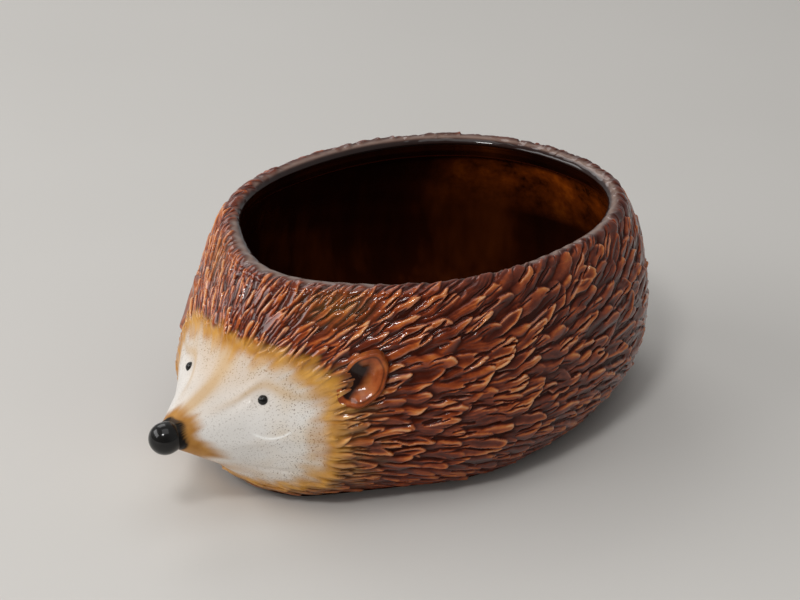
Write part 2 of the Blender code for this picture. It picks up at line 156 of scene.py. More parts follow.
def make_floor():
    bm = bmesh.new()
    bmesh.ops.create_grid(bm, x_segments=1, y_segments=1, size=FLOOR_REACH)
    floor = put_in_scene("floor", mesh_of(bm, "floor"))
    material = bpy.data.materials.new("pale_table")
    material.use_nodes = True
    nodes, links = material.node_tree.nodes, material.node_tree.links
    shader = nodes["Principled BSDF"]
    shader.inputs["Roughness"].default_value = 0.75
    noise = nodes.new("ShaderNodeTexNoise")
    noise.inputs["Scale"].default_value = 6.0
    ramp = nodes.new("ShaderNodeValToRGB")
    for element, tone in zip(ramp.color_ramp.elements, FLOOR_TONES):
        element.color = tone
    coordinates = nodes.new("ShaderNodeTexCoord")
    links.new(coordinates.outputs["Object"], noise.inputs["Vector"])
    links.new(noise.outputs["Fac"], ramp.inputs["Fac"])
    links.new(ramp.outputs["Color"], shader.inputs["Base Color"])
    floor.data.materials.append(material)


make_floor()
print("floor laid", 2 * FLOOR_REACH, "m across")

# %% [markdown]
# ## The outer form
#
# The bare clay body, before any carving, is a rounded barrel with an egg-shaped head and a cone for
# the snout. Each is written as a field that is roughly the distance to its surface, negative
# inside, and the three are blended where they meet, as a thumb smooths clay. These are the same
# formulas as in the part's source, so the carved coat lies exactly on the CAD solids.

# %% Fields for the barrel, the head and the snout
BARREL_MIDDLE = np.array([0.0, 0.0174, 0.0350])
BARREL_SIDE, BARREL_REAR, BARREL_FRONT = 0.0805, 0.1050, 0.0880
BARREL_CROWN, BARREL_KEEL, BARREL_ROUNDNESS = 0.0890, 0.0520, 2.2
HEAD_MIDDLE = np.array([0.0, -0.0501, 0.0400])
HEAD_HALVES = np.array([0.0365, 0.0360, 0.0440])
CHEEK_MIDDLE, CHEEK_RADIUS, CHEEK_WIDENING = np.array([0.0, -0.0681, 0.0325]), 0.0305, 1.30
SNOUT_TIP, SNOUT_TIP_RADIUS = np.array([0.0, -0.1139, 0.0384]), 0.0055
SNOUT_BLEND, NECK_BLEND = 0.0125, 0.0270


def egg(offset, halves, power=2.0):
    reach = (np.abs(offset / halves) ** power).sum(-1) ** (1 / power) + 1e-9
    return np.sqrt((offset**2).sum(-1)) * (1 - 1 / reach)


def barrel(points):
    offset = points - BARREL_MIDDLE
    halves = np.empty_like(offset)
    halves[..., 0] = BARREL_SIDE
    halves[..., 1] = np.where(offset[..., 1] > 0, BARREL_REAR, BARREL_FRONT)
    halves[..., 2] = np.where(offset[..., 2] > 0, BARREL_CROWN, BARREL_KEEL)
    return egg(offset, halves, BARREL_ROUNDNESS)


def snout(points):
    points = points / (CHEEK_WIDENING, 1, 1)
    axis = SNOUT_TIP - CHEEK_MIDDLE
    along = np.clip((points - CHEEK_MIDDLE) @ axis / (axis @ axis), 0, 1)
    nearest = CHEEK_MIDDLE + along[..., None] * axis
    radius = CHEEK_RADIUS + (SNOUT_TIP_RADIUS - CHEEK_RADIUS) * along
    return np.sqrt(((points - nearest) ** 2).sum(-1)) - radius


def melt(a, b, blend):
    share = np.clip(0.5 + 0.5 * (b - a) / blend, 0, 1)
    return b * (1 - share) + a * share - blend * share * (1 - share)


def clay(points):
    head = melt(egg(points - HEAD_MIDDLE, HEAD_HALVES), snout(points), SNOUT_BLEND)
    return melt(head, barrel(points), NECK_BLEND)


belly_side = BARREL_MIDDLE + (BARREL_SIDE, 0, 0)
print("field at the belly's widest point", clay(belly_side[None])[0].round(5))

# %% [markdown]
# Every ring of the bowl is placed by its angle round the barrel's upright axis, 0 at the brow, and
# its height. The distance from the axis is found by stepping in from outside until the field turns
# negative, and then by halving the step.

# %% Distance of the form from the axis
AXIS_Y = BARREL_MIDDLE[1]


def around(angle, radius, height):
    return np.stack([radius * np.sin(angle), AXIS_Y - radius * np.cos(angle), height + 0 * angle], -1)


def search(angle, height, level, low, high, halvings):
    for _ in range(halvings):
        middle = (low + high) / 2
        inside = clay(around(angle, middle, height)) < level
        low = np.where(inside, middle, low)
        high = np.where(inside, high, middle)
    return low


def clay_radius(angle, height, level=0.0):
    """Largest distance from the axis at which the field has that level."""
    reach, steps = 0.25, 60
    low = np.zeros(angle.shape)
    found = np.zeros(angle.shape, bool)
    for k in range(1, steps + 1):
        radius = np.full(angle.shape, reach * (1 - k / steps))
        hit = (clay(around(angle, radius, height)) < level) & ~found
        low[hit] = radius[hit]
        found |= hit
    return search(angle, height, level, low, low + reach / steps, 20)


print("belly radius", clay_radius(np.array([math.pi / 2]), np.array([0.035])).round(4))

# %% [markdown]
# ## The wall laid out flat
#
# Carving is easier to plan on a flat sheet. Across the sheet, `u` runs back from the brow round the
# belly on both sides; up the sheet, `v` climbs from the foot to the rim, and then over the rolled
# rim to its inner edge. The sheet's cells are a third of a millimetre, which is fine enough for the
# thin bright edges of single spines.

# %% Flat sheet
FOOT_ROUNDING, RIM_ROLL, WALL = 0.0020, 0.0026, 0.0062
RIM_FRONT, RIM_REAR, RIM_CREST = 0.0868, 0.0812, 0.0016
FLOOR_HEIGHT, FLOOR_FILLET = 0.0085, 0.0120
CELL, ROLL_LENGTH, SHEETS = 0.00033, 0.0092, 6

turn = np.linspace(0, math.pi, 721)
belly_x = BARREL_SIDE * np.sin(turn)
belly_y = -np.cos(turn) * np.where(turn > math.pi / 2, BARREL_REAR, BARREL_FRONT)
belly_angle = np.arctan2(belly_x, -belly_y)
belly_run = np.concatenate([[0], np.cumsum(np.hypot(np.diff(belly_x), np.diff(belly_y)))])
HALF_GIRTH = float(belly_run[-1])


def rim_height(angle):
    """Height of the wall where the rolled rim begins."""
    middle = (RIM_FRONT + RIM_REAR) / 2 + RIM_CREST * np.sin(angle) ** 2
    return middle + (RIM_FRONT - RIM_REAR) / 2 * np.cos(angle) - RIM_ROLL


def wall_height(angle, share):
    return FOOT_ROUNDING + (rim_height(angle) - FOOT_ROUNDING) * share


side = np.full(161, math.pi / 2)
share_of_wall = np.linspace(0, 1, 161)
side_height = wall_height(side, share_of_wall)
side_run = np.hypot(np.diff(side_height), np.diff(clay_radius(side, side_height)))
climb = np.concatenate([[0], np.cumsum(side_run)])
WALL_CLIMB = float(climb[-1])

COLUMNS = 2 * SHEETS * round(2 * HALF_GIRTH / CELL / SHEETS / 2)
WALL_ROWS = round(WALL_CLIMB / CELL)
ROLL_ROWS = round(ROLL_LENGTH / CELL)
ROWS = WALL_ROWS + ROLL_ROWS
u_line = -HALF_GIRTH + 2 * HALF_GIRTH * np.arange(COLUMNS) / COLUMNS
v_wall = WALL_CLIMB * np.arange(WALL_ROWS) / WALL_ROWS
v_line = np.concatenate([v_wall, WALL_CLIMB + ROLL_LENGTH * np.arange(ROLL_ROWS + 1) / ROLL_ROWS])
print("flat sheet", COLUMNS, "by", ROWS, "cells")

# %% [markdown]
# The smooth wall is found on a coarse grid first and then sharpened on the fine one, which is much
# quicker than searching half a million points from far away.

# %% Smooth wall under the carving
def angle_of(u):
    return np.copysign(np.interp(np.abs(u), belly_run, belly_angle), u)


def inner_radius(angle, height):
    """The hollow follows the outside at one wall's depth, and is rounded into the floor."""
    radius = clay_radius(angle, np.maximum(height, FLOOR_HEIGHT), -WALL)
    left = np.clip(FLOOR_FILLET - (height - FLOOR_HEIGHT), 0, FLOOR_FILLET)
    return radius - (FLOOR_FILLET - np.sqrt(FLOOR_FILLET**2 - left**2))


def resample(grid, rows_to, columns_to):
    """Straight-line resampling of a grid that closes on itself across."""
    rows, columns = grid.shape
    r = np.linspace(0, rows - 1, rows_to)
    c = np.arange(columns_to) * columns / columns_to
    r0 = np.minimum(r.astype(int), rows - 2)
    c0 = c.astype(int)
    fr, fc = (r - r0)[:, None], (c - c0)[None, :]
    a, b = grid[r0][:, c0], grid[r0][:, (c0 + 1) % columns]
    d, e = grid[r0 + 1][:, c0], grid[r0 + 1][:, (c0 + 1) % columns]
    return (a * (1 - fc) + b * fc) * (1 - fr) + (d * (1 - fc) + e * fc) * fr


def smooth_wall():
    coarse_u = -HALF_GIRTH + 2 * HALF_GIRTH * np.arange(COLUMNS // 8) / (COLUMNS // 8)
    coarse_v = np.linspace(0, WALL_CLIMB, 49)
    angle = angle_of(coarse_u)[None, :] + 0 * coarse_v[:, None]
    height = wall_height(angle, np.interp(coarse_v, climb, share_of_wall)[:, None])
    start = resample(clay_radius(angle, height), WALL_ROWS + 1, COLUMNS)
    angle = angle_of(u_line)[None, :] + np.zeros((WALL_ROWS + 1, 1))
    height = wall_height(angle, np.interp(v_line[: WALL_ROWS + 1], climb, share_of_wall)[:, None])
    radius = search(angle, height, 0.0, start - 0.003, start + 0.003, 15)
    wall = around(angle, radius, height)
    edge = angle[0]
    low = rim_height(edge)
    outer, inner = clay_radius(edge, low), inner_radius(edge, low)
    bend = (np.arange(1, ROLL_ROWS + 1) / ROLL_ROWS * math.pi)[:, None]
    roll = around(
        edge[None, :] + 0 * bend,
        (outer + inner) / 2 + (outer - inner) / 2 * np.cos(bend),
        low + RIM_ROLL * np.sin(bend),
    )
    return np.concatenate([wall, roll])


def along_sheet(grid):
    """Change of a grid per metre of u and per metre of v."""
    across = (np.roll(grid, -1, 1) - np.roll(grid, 1, 1)) / (4 * HALF_GIRTH / COLUMNS)
    return across, np.gradient(grid, v_line, axis=0)


def outward(points):
    across, up = along_sheet(points)
    normal = np.cross(across, up)
    return normal / np.linalg.norm(normal, axis=-1, keepdims=True)


base = smooth_wall()
base_u, base_v = along_sheet(base)
stretch_u, stretch_v = np.linalg.norm(base_u, axis=-1), np.linalg.norm(base_v, axis=-1)
base_out = outward(base)
print("wall box", base.min((0, 1)).round(4), base.max((0, 1)).round(4))

# %% [markdown]
# ## Where the face ends
#
# The face is smooth and has no spines. Seen from the front it is a rounded square. A single number
# says how far each cell lies inside it (negative) or outside, and everything that changes at its
# edge follows that number.

# %% Face
FACE_HALF_WIDTH, FACE_HALF_HEIGHT, FACE_HEIGHT = 0.0408, 0.0285, 0.0365
GRID_U, GRID_V = np.meshgrid(u_line, v_line)


def smooth_step(low, high, value):
    t = np.clip((value - low) / (high - low), 0, 1)
    return t * t * (3 - 2 * t)


def hill(value, middle, width):
    """A smooth hill of height 1 round a middle value."""
    return np.exp(-(((value - middle) / width) ** 2))


def waves(u, v, pitch, seed, count=7):
    """A soft random field: a few crossing waves of about that pitch, between -1 and 1."""
    draw = np.random.default_rng(seed)
    total = np.zeros(np.broadcast(u, v).shape)
    for _ in range(count):
        heading = draw.uniform(0, 2 * math.pi)
        length = pitch * draw.uniform(0.6, 1.5)
        phase = draw.uniform(0, 2 * math.pi)
        along = u * math.cos(heading) + v * math.sin(heading)
        total = total + np.sin(2 * math.pi * along / length + phase)
    return total / count * 1.6


def face_distance(points):
    x, y, z = points[..., 0], points[..., 1], points[..., 2]
    reach = np.abs(x / FACE_HALF_WIDTH) ** 3 + np.abs((z - FACE_HEIGHT) / FACE_HALF_HEIGHT) ** 3
    return np.where(y < -0.045, reach ** (1 / 3) - 1, 1.0)


def face_waves(pitch, seed):
    return waves(base[..., 0], base[..., 2], pitch, seed)


beyond_face = face_distance(base)
ragged = beyond_face + 0.028 * face_waves(0.011, 3)
spiny = smooth_step(-0.09, 0.07, ragged)
print("cells in the face", int((beyond_face < 0).sum()))

# %% [markdown]
# ## Combing the coat
#
# The spines fan out from the face: upright on the brow, level low on the flank, and rising towards
# the rim and the rump, where both sides meet upright. `lie` gives that direction anywhere on the
# sheet.

# %% Direction of the spines
FAN_HEIGHT, FAN_REACH, FAN_LOWEST = 0.034, 0.062, math.radians(-10)
FLANK_LOW, FLANK_TURN = math.radians(-12), math.radians(46)
TAIL_ZONE, TAIL_WIDENING = 0.028, 0.030


def lie(u, v):
    """Angle of the spines above level, towards the rear of their own side."""
    back = np.abs(u)
    fan = np.maximum(np.arctan2(v - FAN_HEIGHT, back + 0.002), FAN_LOWEST)
    climbed = np.clip(v, 0, None) / WALL_CLIMB
    rise = FLANK_LOW + FLANK_TURN * climbed**2 * (0.90 + 0.25 * back / HALF_GIRTH)
    near = hill(back, 0, FAN_REACH)
    angle = fan * near + rise * (1 - near)
    zone = TAIL_ZONE + TAIL_WIDENING * v / WALL_CLIMB
    tail = smooth_step(0, 1, (back - (HALF_GIRTH - zone)) / zone)
    return angle + (math.pi / 2 - angle) * tail


def heading_of(u, v):
    angle = lie(u, v)
    return np.cos(angle) * np.where(u < 0, -1.0, 1.0), np.sin(angle)


for spot in ((0.0, 0.075), (0.06, 0.04), (0.12, 0.08), (0.2, 0.05)):
    print("spines at", spot, "rise", round(math.degrees(float(lie(*spot)))), "degrees")

# %% [markdown]
# ## Planting the spines
#
# A carver fills the surface spine by spine and leaves no two in step. The script does the same: it
# tries many random places in turn and keeps one only if it isn't too close to a spine that is
# already there, where close means less along the row than across it. It is done once for the long
# blades, and once for the slivers that fill the gaps between them.

# %% Places of the spines
SLIM_LENGTH, BROAD_LENGTHENING = 0.0195, 0.0045
SLIM_WIDTH, BROAD_WIDENING, HIGH_WIDENING = 0.0029, 0.0026, 0.0016


def size_of(u, v):
    """Length and width of a spine: slim on the brow and by the chin, broad on the flank."""
    back = np.abs(u)
    broad = smooth_step(0.016, 0.080, back - 0.5 * np.clip(0.028 - v, 0, None))
    high = smooth_step(0.040, 0.075, v) * smooth_step(0.050, 0.110, back)
    width = SLIM_WIDTH + BROAD_WIDENING * broad + HIGH_WIDENING * high
    return SLIM_LENGTH + BROAD_LENGTHENING * broad, width


def cell_at(u, v):
    column = np.round((u + HALF_GIRTH) / (2 * HALF_GIRTH) * COLUMNS).astype(int) % COLUMNS
    row = np.clip(np.searchsorted(v_line, v), 0, ROWS)
    return row, column


def plant(seed, tries, length_share, width_share, spacing_along, spacing_across):
    draw = np.random.default_rng(seed)
    u_all = draw.uniform(-HALF_GIRTH, HALF_GIRTH, tries)
    v_all = draw.uniform(-0.004, WALL_CLIMB + 0.006, tries)
    cos_all, sin_all = heading_of(u_all, v_all)
    kept = []
    places = np.zeros((0, 2))
    for u, v, c, s in zip(u_all, v_all, cos_all, sin_all):
        row, column = cell_at(u, v)
        length, width = size_of(u, v)
        length, width = length * length_share, width * width_share
        if len(places):
            gap_u = places[:, 0] - u
            gap_u = (gap_u + HALF_GIRTH) % (2 * HALF_GIRTH) - HALF_GIRTH
            a, b = gap_u * stretch_u[row, column], (places[:, 1] - v) * stretch_v[row, column]
            along = (a * c + b * s) / (length * spacing_along)
            across = (b * c - a * s) / (width * spacing_across)
            if (along**2 + across**2).min() < 1:
                continue
        places = np.vstack([places, (u, v)])
        kept.append((u, v, float(length), float(width)))
    return kept


blades = plant(
    seed=11, tries=30000, length_share=1.0, width_share=1.0, spacing_along=0.38, spacing_across=0.62
)
slivers = plant(
    seed=12, tries=16000, length_share=0.62, width_share=0.50, spacing_along=0.60, spacing_across=1.7
)
print(len(blades), "blades and", len(slivers), "slivers")

# %% [markdown]
# ## Carving the spines
#
# Each spine is a blade that lifts from its root to its tip, so that tips lie over the roots behind
# them like thatch. Some are dished by the gouge and keep a raised edge, some are rounded, and some
# carry a few fine lines. The sheet keeps whichever blade stands highest at each cell, and remembers
# a tone for it. The whole sheet is warped a little by soft waves, so that no edge runs quite true.
# Last, the gouge's corner cuts a deep slit under many a blade, and hairlines along it.

# %% Carve the spines into the sheet
PAD = 96
WARPS = ((0.00032, 0.0080, 0), (0.00012, 0.0034, 10))  # height, pitch, step of the seed
RELIEF, SLIVER_SHARE, MIDDLE_RISE = 0.0020, 0.62, 0.65
TIP_POWERS, TIP_ODDS = (1.35, 1.9, 3.0, 8.0), (0.24, 0.32, 0.26, 0.18)
UNDERCUT = {"sides": (-0.52, -0.36), "widths": (0.0008, 0.0017), "depths": (0.6, 1.0)}
HAIRLINE = {"sides": (-0.34, 0.42), "widths": (0.0005, 0.0009), "depths": (0.25, 0.75)}
UNDERCUT_WIDTH, UNDERCUT_ODDS, MOST_HAIRLINES, CUT_SHARE = 0.0036, 0.62, 2, 0.88
relief = np.zeros((ROWS + 1, COLUMNS + 2 * PAD))
tone, cut, rising = np.zeros_like(relief), np.zeros_like(relief), np.full_like(relief, MIDDLE_RISE)
u_padded = -HALF_GIRTH + 2 * HALF_GIRTH * (np.arange(COLUMNS + 2 * PAD) - PAD) / COLUMNS


def warp(seed):
    u, v = u_padded[None, :], v_line[:, None]
    return sum(height * waves(u, v, pitch, seed + step) for height, pitch, step in WARPS)


warp_u, warp_v = warp(31), warp(32)


def wobbled(u, v, wobble):
    """The coat's direction at a place, turned by a small angle."""
    c, s = heading_of(u, v)
    return c * math.cos(wobble) - s * math.sin(wobble), s * math.cos(wobble) + c * math.sin(wobble)


def around_spine(u, v, heading, reach):
    """Windows of the sheet round a spine, and how far each cell lies along it and across it."""
    row, column = cell_at(u, v)
    gu, gv = stretch_u[row, column], stretch_v[row, column]
    c, s = heading
    own_side = 1 if u >= 0 else -1
    for turned in (-2 * HALF_GIRTH, 0.0, 2 * HALF_GIRTH):
        left, right = np.searchsorted(u_padded, [u + turned - reach / gu, u + turned + reach / gu])
        low, high = np.searchsorted(v_line, [v - reach / gv, v + reach / gv])
        if right > left and high > low:
            window = (slice(low, high), slice(left, right))
            a = (u_padded[left:right] - u - turned)[None, :] * gu + warp_u[window]
            b = (v_line[low:high] - v)[:, None] * gv + warp_v[window]
            yield window, a * c + b * s, (b * c - a * s) * own_side


def carve(u, v, length, width, height, draw):
    """Lay a blade into the sheet wherever it stands higher than what is there."""
    heading = wobbled(u, v, draw.normal(0, 0.13))
    length = length * draw.uniform(0.75, 1.2)
    width = width * draw.uniform(0.65, 1.3)
    height = height * draw.uniform(0.68, 1.16)
    bend, sway = draw.normal(0, 0.12) / length, draw.normal(0, 0.09) * width
    dished = draw.random() < 0.15
    ridge, summit = draw.uniform(0.36, 0.74), draw.uniform(-0.1, 0.5)
    roll = draw.normal(-0.27, 0.13) * float(smooth_step(0.0018, 0.0042, width))
    oblique, twist = draw.normal(0.0, 0.20), draw.normal(0.0, 0.9)
    tip_power = draw.choice(TIP_POWERS, p=TIP_ODDS)
    lines = draw.integers(2, 6) if draw.random() < 0.55 and width > 0.003 else 0
    phase, shade = draw.uniform(0, 2 * math.pi), draw.uniform(-1, 1)
    for window, along, across in around_spine(u, v, heading, 0.62 * length):
        across = across - bend * along**2 + sway * np.sin(6.5 * along / length + phase)
        share = along / length + 0.5 + oblique * across / (width / 2) * np.clip(along / length, 0, 1)
        from_middle = np.where(share < 0.6, (0.6 - share) / 0.6, (share - 0.6) / 0.4)
        power = np.where(share < 0.6, 1.8, tip_power)
        t = ((np.abs(across) / (width / 2)) ** 1.7 + from_middle**power) ** (1 / 1.7)
        inside = t < 1
        t = np.clip(t, 0, 1)
        lift = 0.24 + 0.76 * np.clip(share, 0, 1) ** 1.1
        q = np.clip(across / (width / 2), -1, 1)
        if dished:
            section = 0.84 + 0.26 * t**2 + 0.10 * smooth_step(0.60, 0.86, t) + roll * q
        else:
            off_summit = np.clip(np.abs(q - summit - twist * (share - 0.6)), 0, 1.5)
            section = 1.05 - ridge * off_summit**1.5 + 0.8 * roll * q
        if lines:
            section = section + 0.045 * np.sin(lines * math.pi * q + phase)
        shoulder = 1 - t**16
        carved = np.where(inside, height * lift * section * shoulder, 0)
        on_top = carved > relief[window]
        relief[window] = np.where(on_top, carved, relief[window])
        tone[window] = np.where(on_top, shade, tone[window])
        rising[window] = np.where(on_top, np.clip(share, 0.2, 1), rising[window])


def gouge(u, v, length, width, draw, sides, widths, depths):
    """A lens-shaped slit along a blade, as left by the corner of the tool."""
    heading = wobbled(u, v, draw.normal(0, 0.10))
    slit_length, slit_width = length * draw.uniform(0.30, 0.60), draw.uniform(*widths)
    ahead, aside = length * draw.uniform(-0.15, 0.25), width * draw.uniform(*sides)
    power = draw.choice([1.6, 2.5, 6.0])
    depth = draw.uniform(*depths)
    for window, along, across in around_spine(u, v, heading, length):
        past_end = (np.abs(along - ahead) / (slit_length / 2)) ** power
        t = past_end + (np.abs(across - aside) / (slit_width / 2)) ** 2
        cut[window] = np.maximum(cut[window], depth * np.clip(1.4 * (1 - t), 0, 1))


draw = np.random.default_rng(5)
for u, v, length, width in slivers:
    carve(u, v, length, width, RELIEF * SLIVER_SHARE, draw)
for u, v, length, width in blades:
    slim = 0.80 + 0.20 * smooth_step(0.0030, 0.0050, width)
    carve(u, v, length, width, RELIEF * slim, draw)
    if width > UNDERCUT_WIDTH and draw.random() < UNDERCUT_ODDS:
        gouge(u, v, length, width, draw, **UNDERCUT)
    for _ in range(draw.integers(0, MOST_HAIRLINES + 1)):
        gouge(u, v, length, width, draw, **HAIRLINE)
relief = relief * (1 - CUT_SHARE * cut)
print("covered by spines:", round(float((relief[:WALL_ROWS] > 0).mean()), 3))

# %% [markdown]
# Glaze softens every edge, and it runs off the high edges and gathers in the cuts. Blurring the
# sheet a little gives the soft edges. The difference between the sheet and a wider blur says where
# an edge stands proud and where a cut lies deep, and the colour of the glaze follows that later.
# The slope up the sheet says which sides face downwards, and those get painted shade later.

# %% Soften, and measure edges, cuts and the painted shade of undersides
def blur(grid, radius):
    """Gaussian blur by a radius in metres."""
    reach = max(1, round(3 * radius / CELL))
    weights = np.exp(-0.5 * (np.arange(-reach, reach + 1) * CELL / radius) ** 2)
    weights /= weights.sum()
    for axis in (0, 1):
        margin = [(reach, reach) if k == axis else (0, 0) for k in (0, 1)]
        padded = np.pad(grid, margin, mode="edge")
        size = grid.shape[axis]
        grid = sum(w * np.take(padded, np.arange(k, k + size), axis) for k, w in enumerate(weights))
    return grid


SOFT_EDGE, TONE_BLUR, RISING_BLUR = 0.00017, 0.0002, 0.0003
EDGE_BLUR, CROWN_BLUR, POOL_BLUR = 0.0006, 0.0016, 0.0014
FULL_EDGE, FULL_CROWN, FULL_POOL, FULL_SLOPE = 0.00022, 0.00045, 0.0005, 0.55
soft = blur(relief, SOFT_EDGE)
break_edge = (soft - blur(soft, EDGE_BLUR)) / FULL_EDGE
crown = (soft - blur(soft, CROWN_BLUR)) / FULL_CROWN
pool = (blur(soft, POOL_BLUR) - soft) / FULL_POOL
# painted shade: where the relief climbs up the sheet, the surface faces down and is darkened later
painted_underside_shade = np.gradient(soft, v_line, axis=0) / FULL_SLOPE
crop = (slice(None), slice(PAD, PAD + COLUMNS))
soft, tone, rising, break_edge, crown, pool, painted_underside_shade = (
    grid[crop]
    for grid in (soft, blur(tone, TONE_BLUR), blur(rising, RISING_BLUR), break_edge, crown, pool, painted_underside_shade)
)
for label, grid in (("edges", break_edge), ("cuts", pool), ("undersides", painted_underside_shade)):
    print(label, np.percentile(grid, (5, 50, 95)).round(2))

# %% [markdown]
# ## The face's own modelling
#
# On the smooth face only a few shapes stand out: a low ridge as the lid over each eye and a hollow
# under it, a dimple for each eye, a low swelling of the cheek with a faint smile line over it, and
# a crease along the jaw.

# %% Face relief
NOSE_MIDDLE, NOSE_RADIUS = Vector((0, -0.1185, 0.0384)), 0.0065
EYE_SPACING, EYE_HEIGHT, EYE_RADIUS = 0.0196, 0.0490, 0.0019
SMILE_MIDDLE, SMILE_CURVE = 0.0258, 100
LID_HEIGHT, UNDER_LID, EYE_DIMPLE = 0.00040, 0.00022, 0.0003
SMILE_HEIGHT, CHEEK_HEIGHT, JAW_CREASE = 0.00012, 0.0005, 0.0005
face_x, face_z = np.abs(base[..., 0]), base[..., 2]
in_front = base[..., 1] < -0.045


def bump_at(x, z, wide, tall):
    """A soft round hill on the face, on both sides at once."""
    return np.exp(-(((face_x - x) / wide) ** 2) - ((face_z - z) / tall) ** 2) * in_front


eye_gap = np.hypot(face_x - EYE_SPACING, face_z - EYE_HEIGHT)
level_lid = 0.0460 + 0.0045 * smooth_step(0.012, 0.024, face_x)
lid = level_lid + (0.0540 - level_lid) * hill(face_x, 0.019, 0.0068)
lid_reach = smooth_step(0.008, 0.015, face_x) * (1 - smooth_step(0.032, 0.040, face_x)) * in_front
face_relief = LID_HEIGHT * (hill(face_z - lid, 0.0018, 0.0026) * lid_reach)
face_relief -= UNDER_LID * hill(face_z - lid, -0.0024, 0.0024) * lid_reach
smile = 0.0358 + SMILE_CURVE * (face_x - SMILE_MIDDLE) ** 2
smile_reach = (1 - smooth_step(0.0035, 0.0055, np.abs(face_x - SMILE_MIDDLE))) * in_front
# the smile line is a low ridge, and the same mask also paints a highlight along it
smile_ridge_and_highlight = hill(face_z, smile, 0.00042) * smile_reach
face_relief += SMILE_HEIGHT * smile_ridge_and_highlight
face_relief -= EYE_DIMPLE * np.exp(-((eye_gap / 0.0026) ** 4)) * in_front
face_relief += CHEEK_HEIGHT * bump_at(0.0250, 0.0345, 0.0090, 0.0022)
crease_height = 0.0170 + 0.012 * np.exp(-face_x / 0.016)
crease = hill(face_z, crease_height, 0.0011) * in_front * (1 - spiny)
face_relief -= JAW_CREASE * crease * smooth_step(0.036, 0.02, face_x)
print("face relief", face_relief.min().round(5), "to", face_relief.max().round(5))

# %% [markdown]
# ## From sheet to skin
#
# The spines fade out over the face, over the top of the rim and at the foot. They also stay low
# under the ears, so the place of an ear is worked out here: its frame stands on the head, and an
# almond is drawn in it. Then every cell is lifted off the smooth wall by its relief.

# %% Lift the skin
EAR_ANGLE, EAR_HEIGHT, EAR_TURN = math.radians(31), 0.0560, math.radians(-12)
EAR_HALF_LENGTH, EAR_HALF_WIDTH, EAR_LEAN = 0.0122, 0.0082, math.radians(63)
EAR_SHIFT = np.array([-0.0010, 0.0005])
SCALLOP_HEIGHT, RIM_LOWERING, EAR_LOWERING = 0.00038, 0.36, 0.85


def ear_frame():
    """+Z stands out of the head, +X runs level towards the rear."""
    angle, height = np.array([EAR_ANGLE]), np.array([EAR_HEIGHT])
    point = around(angle, clay_radius(angle, height), height)
    step = 1e-4
    slope = [clay(point + step * axis) - clay(point - step * axis) for axis in np.eye(3)]
    out = Vector([float(s[0]) for s in slope]).normalized()
    back = Vector((0, 0, 1)).cross(out).normalized()
    matrix = Matrix((back, out.cross(back), out)).transposed().to_4x4()
    return Matrix.Translation(Vector(point[0])) @ matrix @ Matrix.Rotation(EAR_TURN, 4, "Z")


def ear_reach(points):
    """How far a point lies from an ear's middle, 1 at its outline, and whether on the rear side."""
    to_ear = np.array(ear_frame().inverted())
    mirrored = np.stack([np.abs(points[..., 0]), points[..., 1], points[..., 2]], -1)
    local = mirrored @ to_ear[:3, :3].T + to_ear[:3, 3]
    x, y = local[..., 0] - EAR_SHIFT[0], local[..., 1] - EAR_SHIFT[1]
    along = x * math.cos(EAR_LEAN) + y * math.sin(EAR_LEAN)
    across = y * math.cos(EAR_LEAN) - x * math.sin(EAR_LEAN)
    reach = np.hypot(along / EAR_HALF_LENGTH, across / EAR_HALF_WIDTH)
    return np.where(np.abs(local[..., 2]) < 0.012, reach, 9.0), smooth_step(0.004, -0.004, across)


crest = v_line[:, None] - WALL_CLIMB
spines_end = 0.0041 + 0.0026 * hill(np.abs(GRID_U), 0.084, 0.034)
wander = 0.0011 * waves(GRID_U, GRID_V, 0.008, 8)
fade_rim = 1 - smooth_step(-0.0016, 0.0012, crest - spines_end + wander)
fade_foot = smooth_step(-0.0005, 0.0035, GRID_V)
low_rim = 1 - RIM_LOWERING * smooth_step(-0.0025, 0.0040, crest)
scallops = SCALLOP_HEIGHT * waves(GRID_U, 0.25 * GRID_V, 0.0075, 9) * hill(crest, 0.0044, 0.0022)
ear_gap, ear_shadow_side = ear_reach(base)
ear_u = float(np.interp(EAR_ANGLE, belly_angle, belly_run))
under_ear = 1 - smooth_step(0.80, 1.06, ear_gap)
under_ear *= smooth_step(-0.0085, -0.0030, np.abs(GRID_U) - ear_u)
strength = spiny * fade_rim * low_rim * fade_foot * (1 - EAR_LOWERING * under_ear)
skin_height = soft * strength + face_relief + scallops
skin = base + base_out * skin_height[..., None]
skin[-1] -= base_out[-1] * 0.0004
skin_out = outward(skin)
print("skin box", skin.min((0, 1)).round(4), skin.max((0, 1)).round(4))

# %% [markdown]
# Every point of the skin also carries a set of shares that say where each glaze lies. On the coat
# they are the edges and cuts measured above, with a painted shadow round the rear edge of each
# ear, and painted shade on the undersides of the spines. Towards the foot and the rump the edges
# are weaker and the brown darker, as painted shade. On the face they are a fringe of honey tufts
# round its edge, a warm band inside that, a brown bridge and lids, a smile line painted almost
# white as a highlight, a streaked seat round the nose, and black where the nose ball stands. The
# coat turns yellow next to the face and olive beside the brow, and the rim has a dark band with a
# painted pale sheen along its lip.

# %% Where each glaze lies
FRINGE = ((0.016, 13, 0.4), (0.014, 29, 2.0), (0.012, 53, 4.1), (0.009, 83, 1.0))
STREAKS = ((0.07, 5, 1.0), (0.04, 11, 0.0), (0.02, 23, 2.0))


def ripples(angle, kinds):
    """A sum of waves round a middle. Each has a height, a number of crests and a phase."""
    return sum(height * np.sin(crests * angle + phase) for height, crests, phase in kinds)


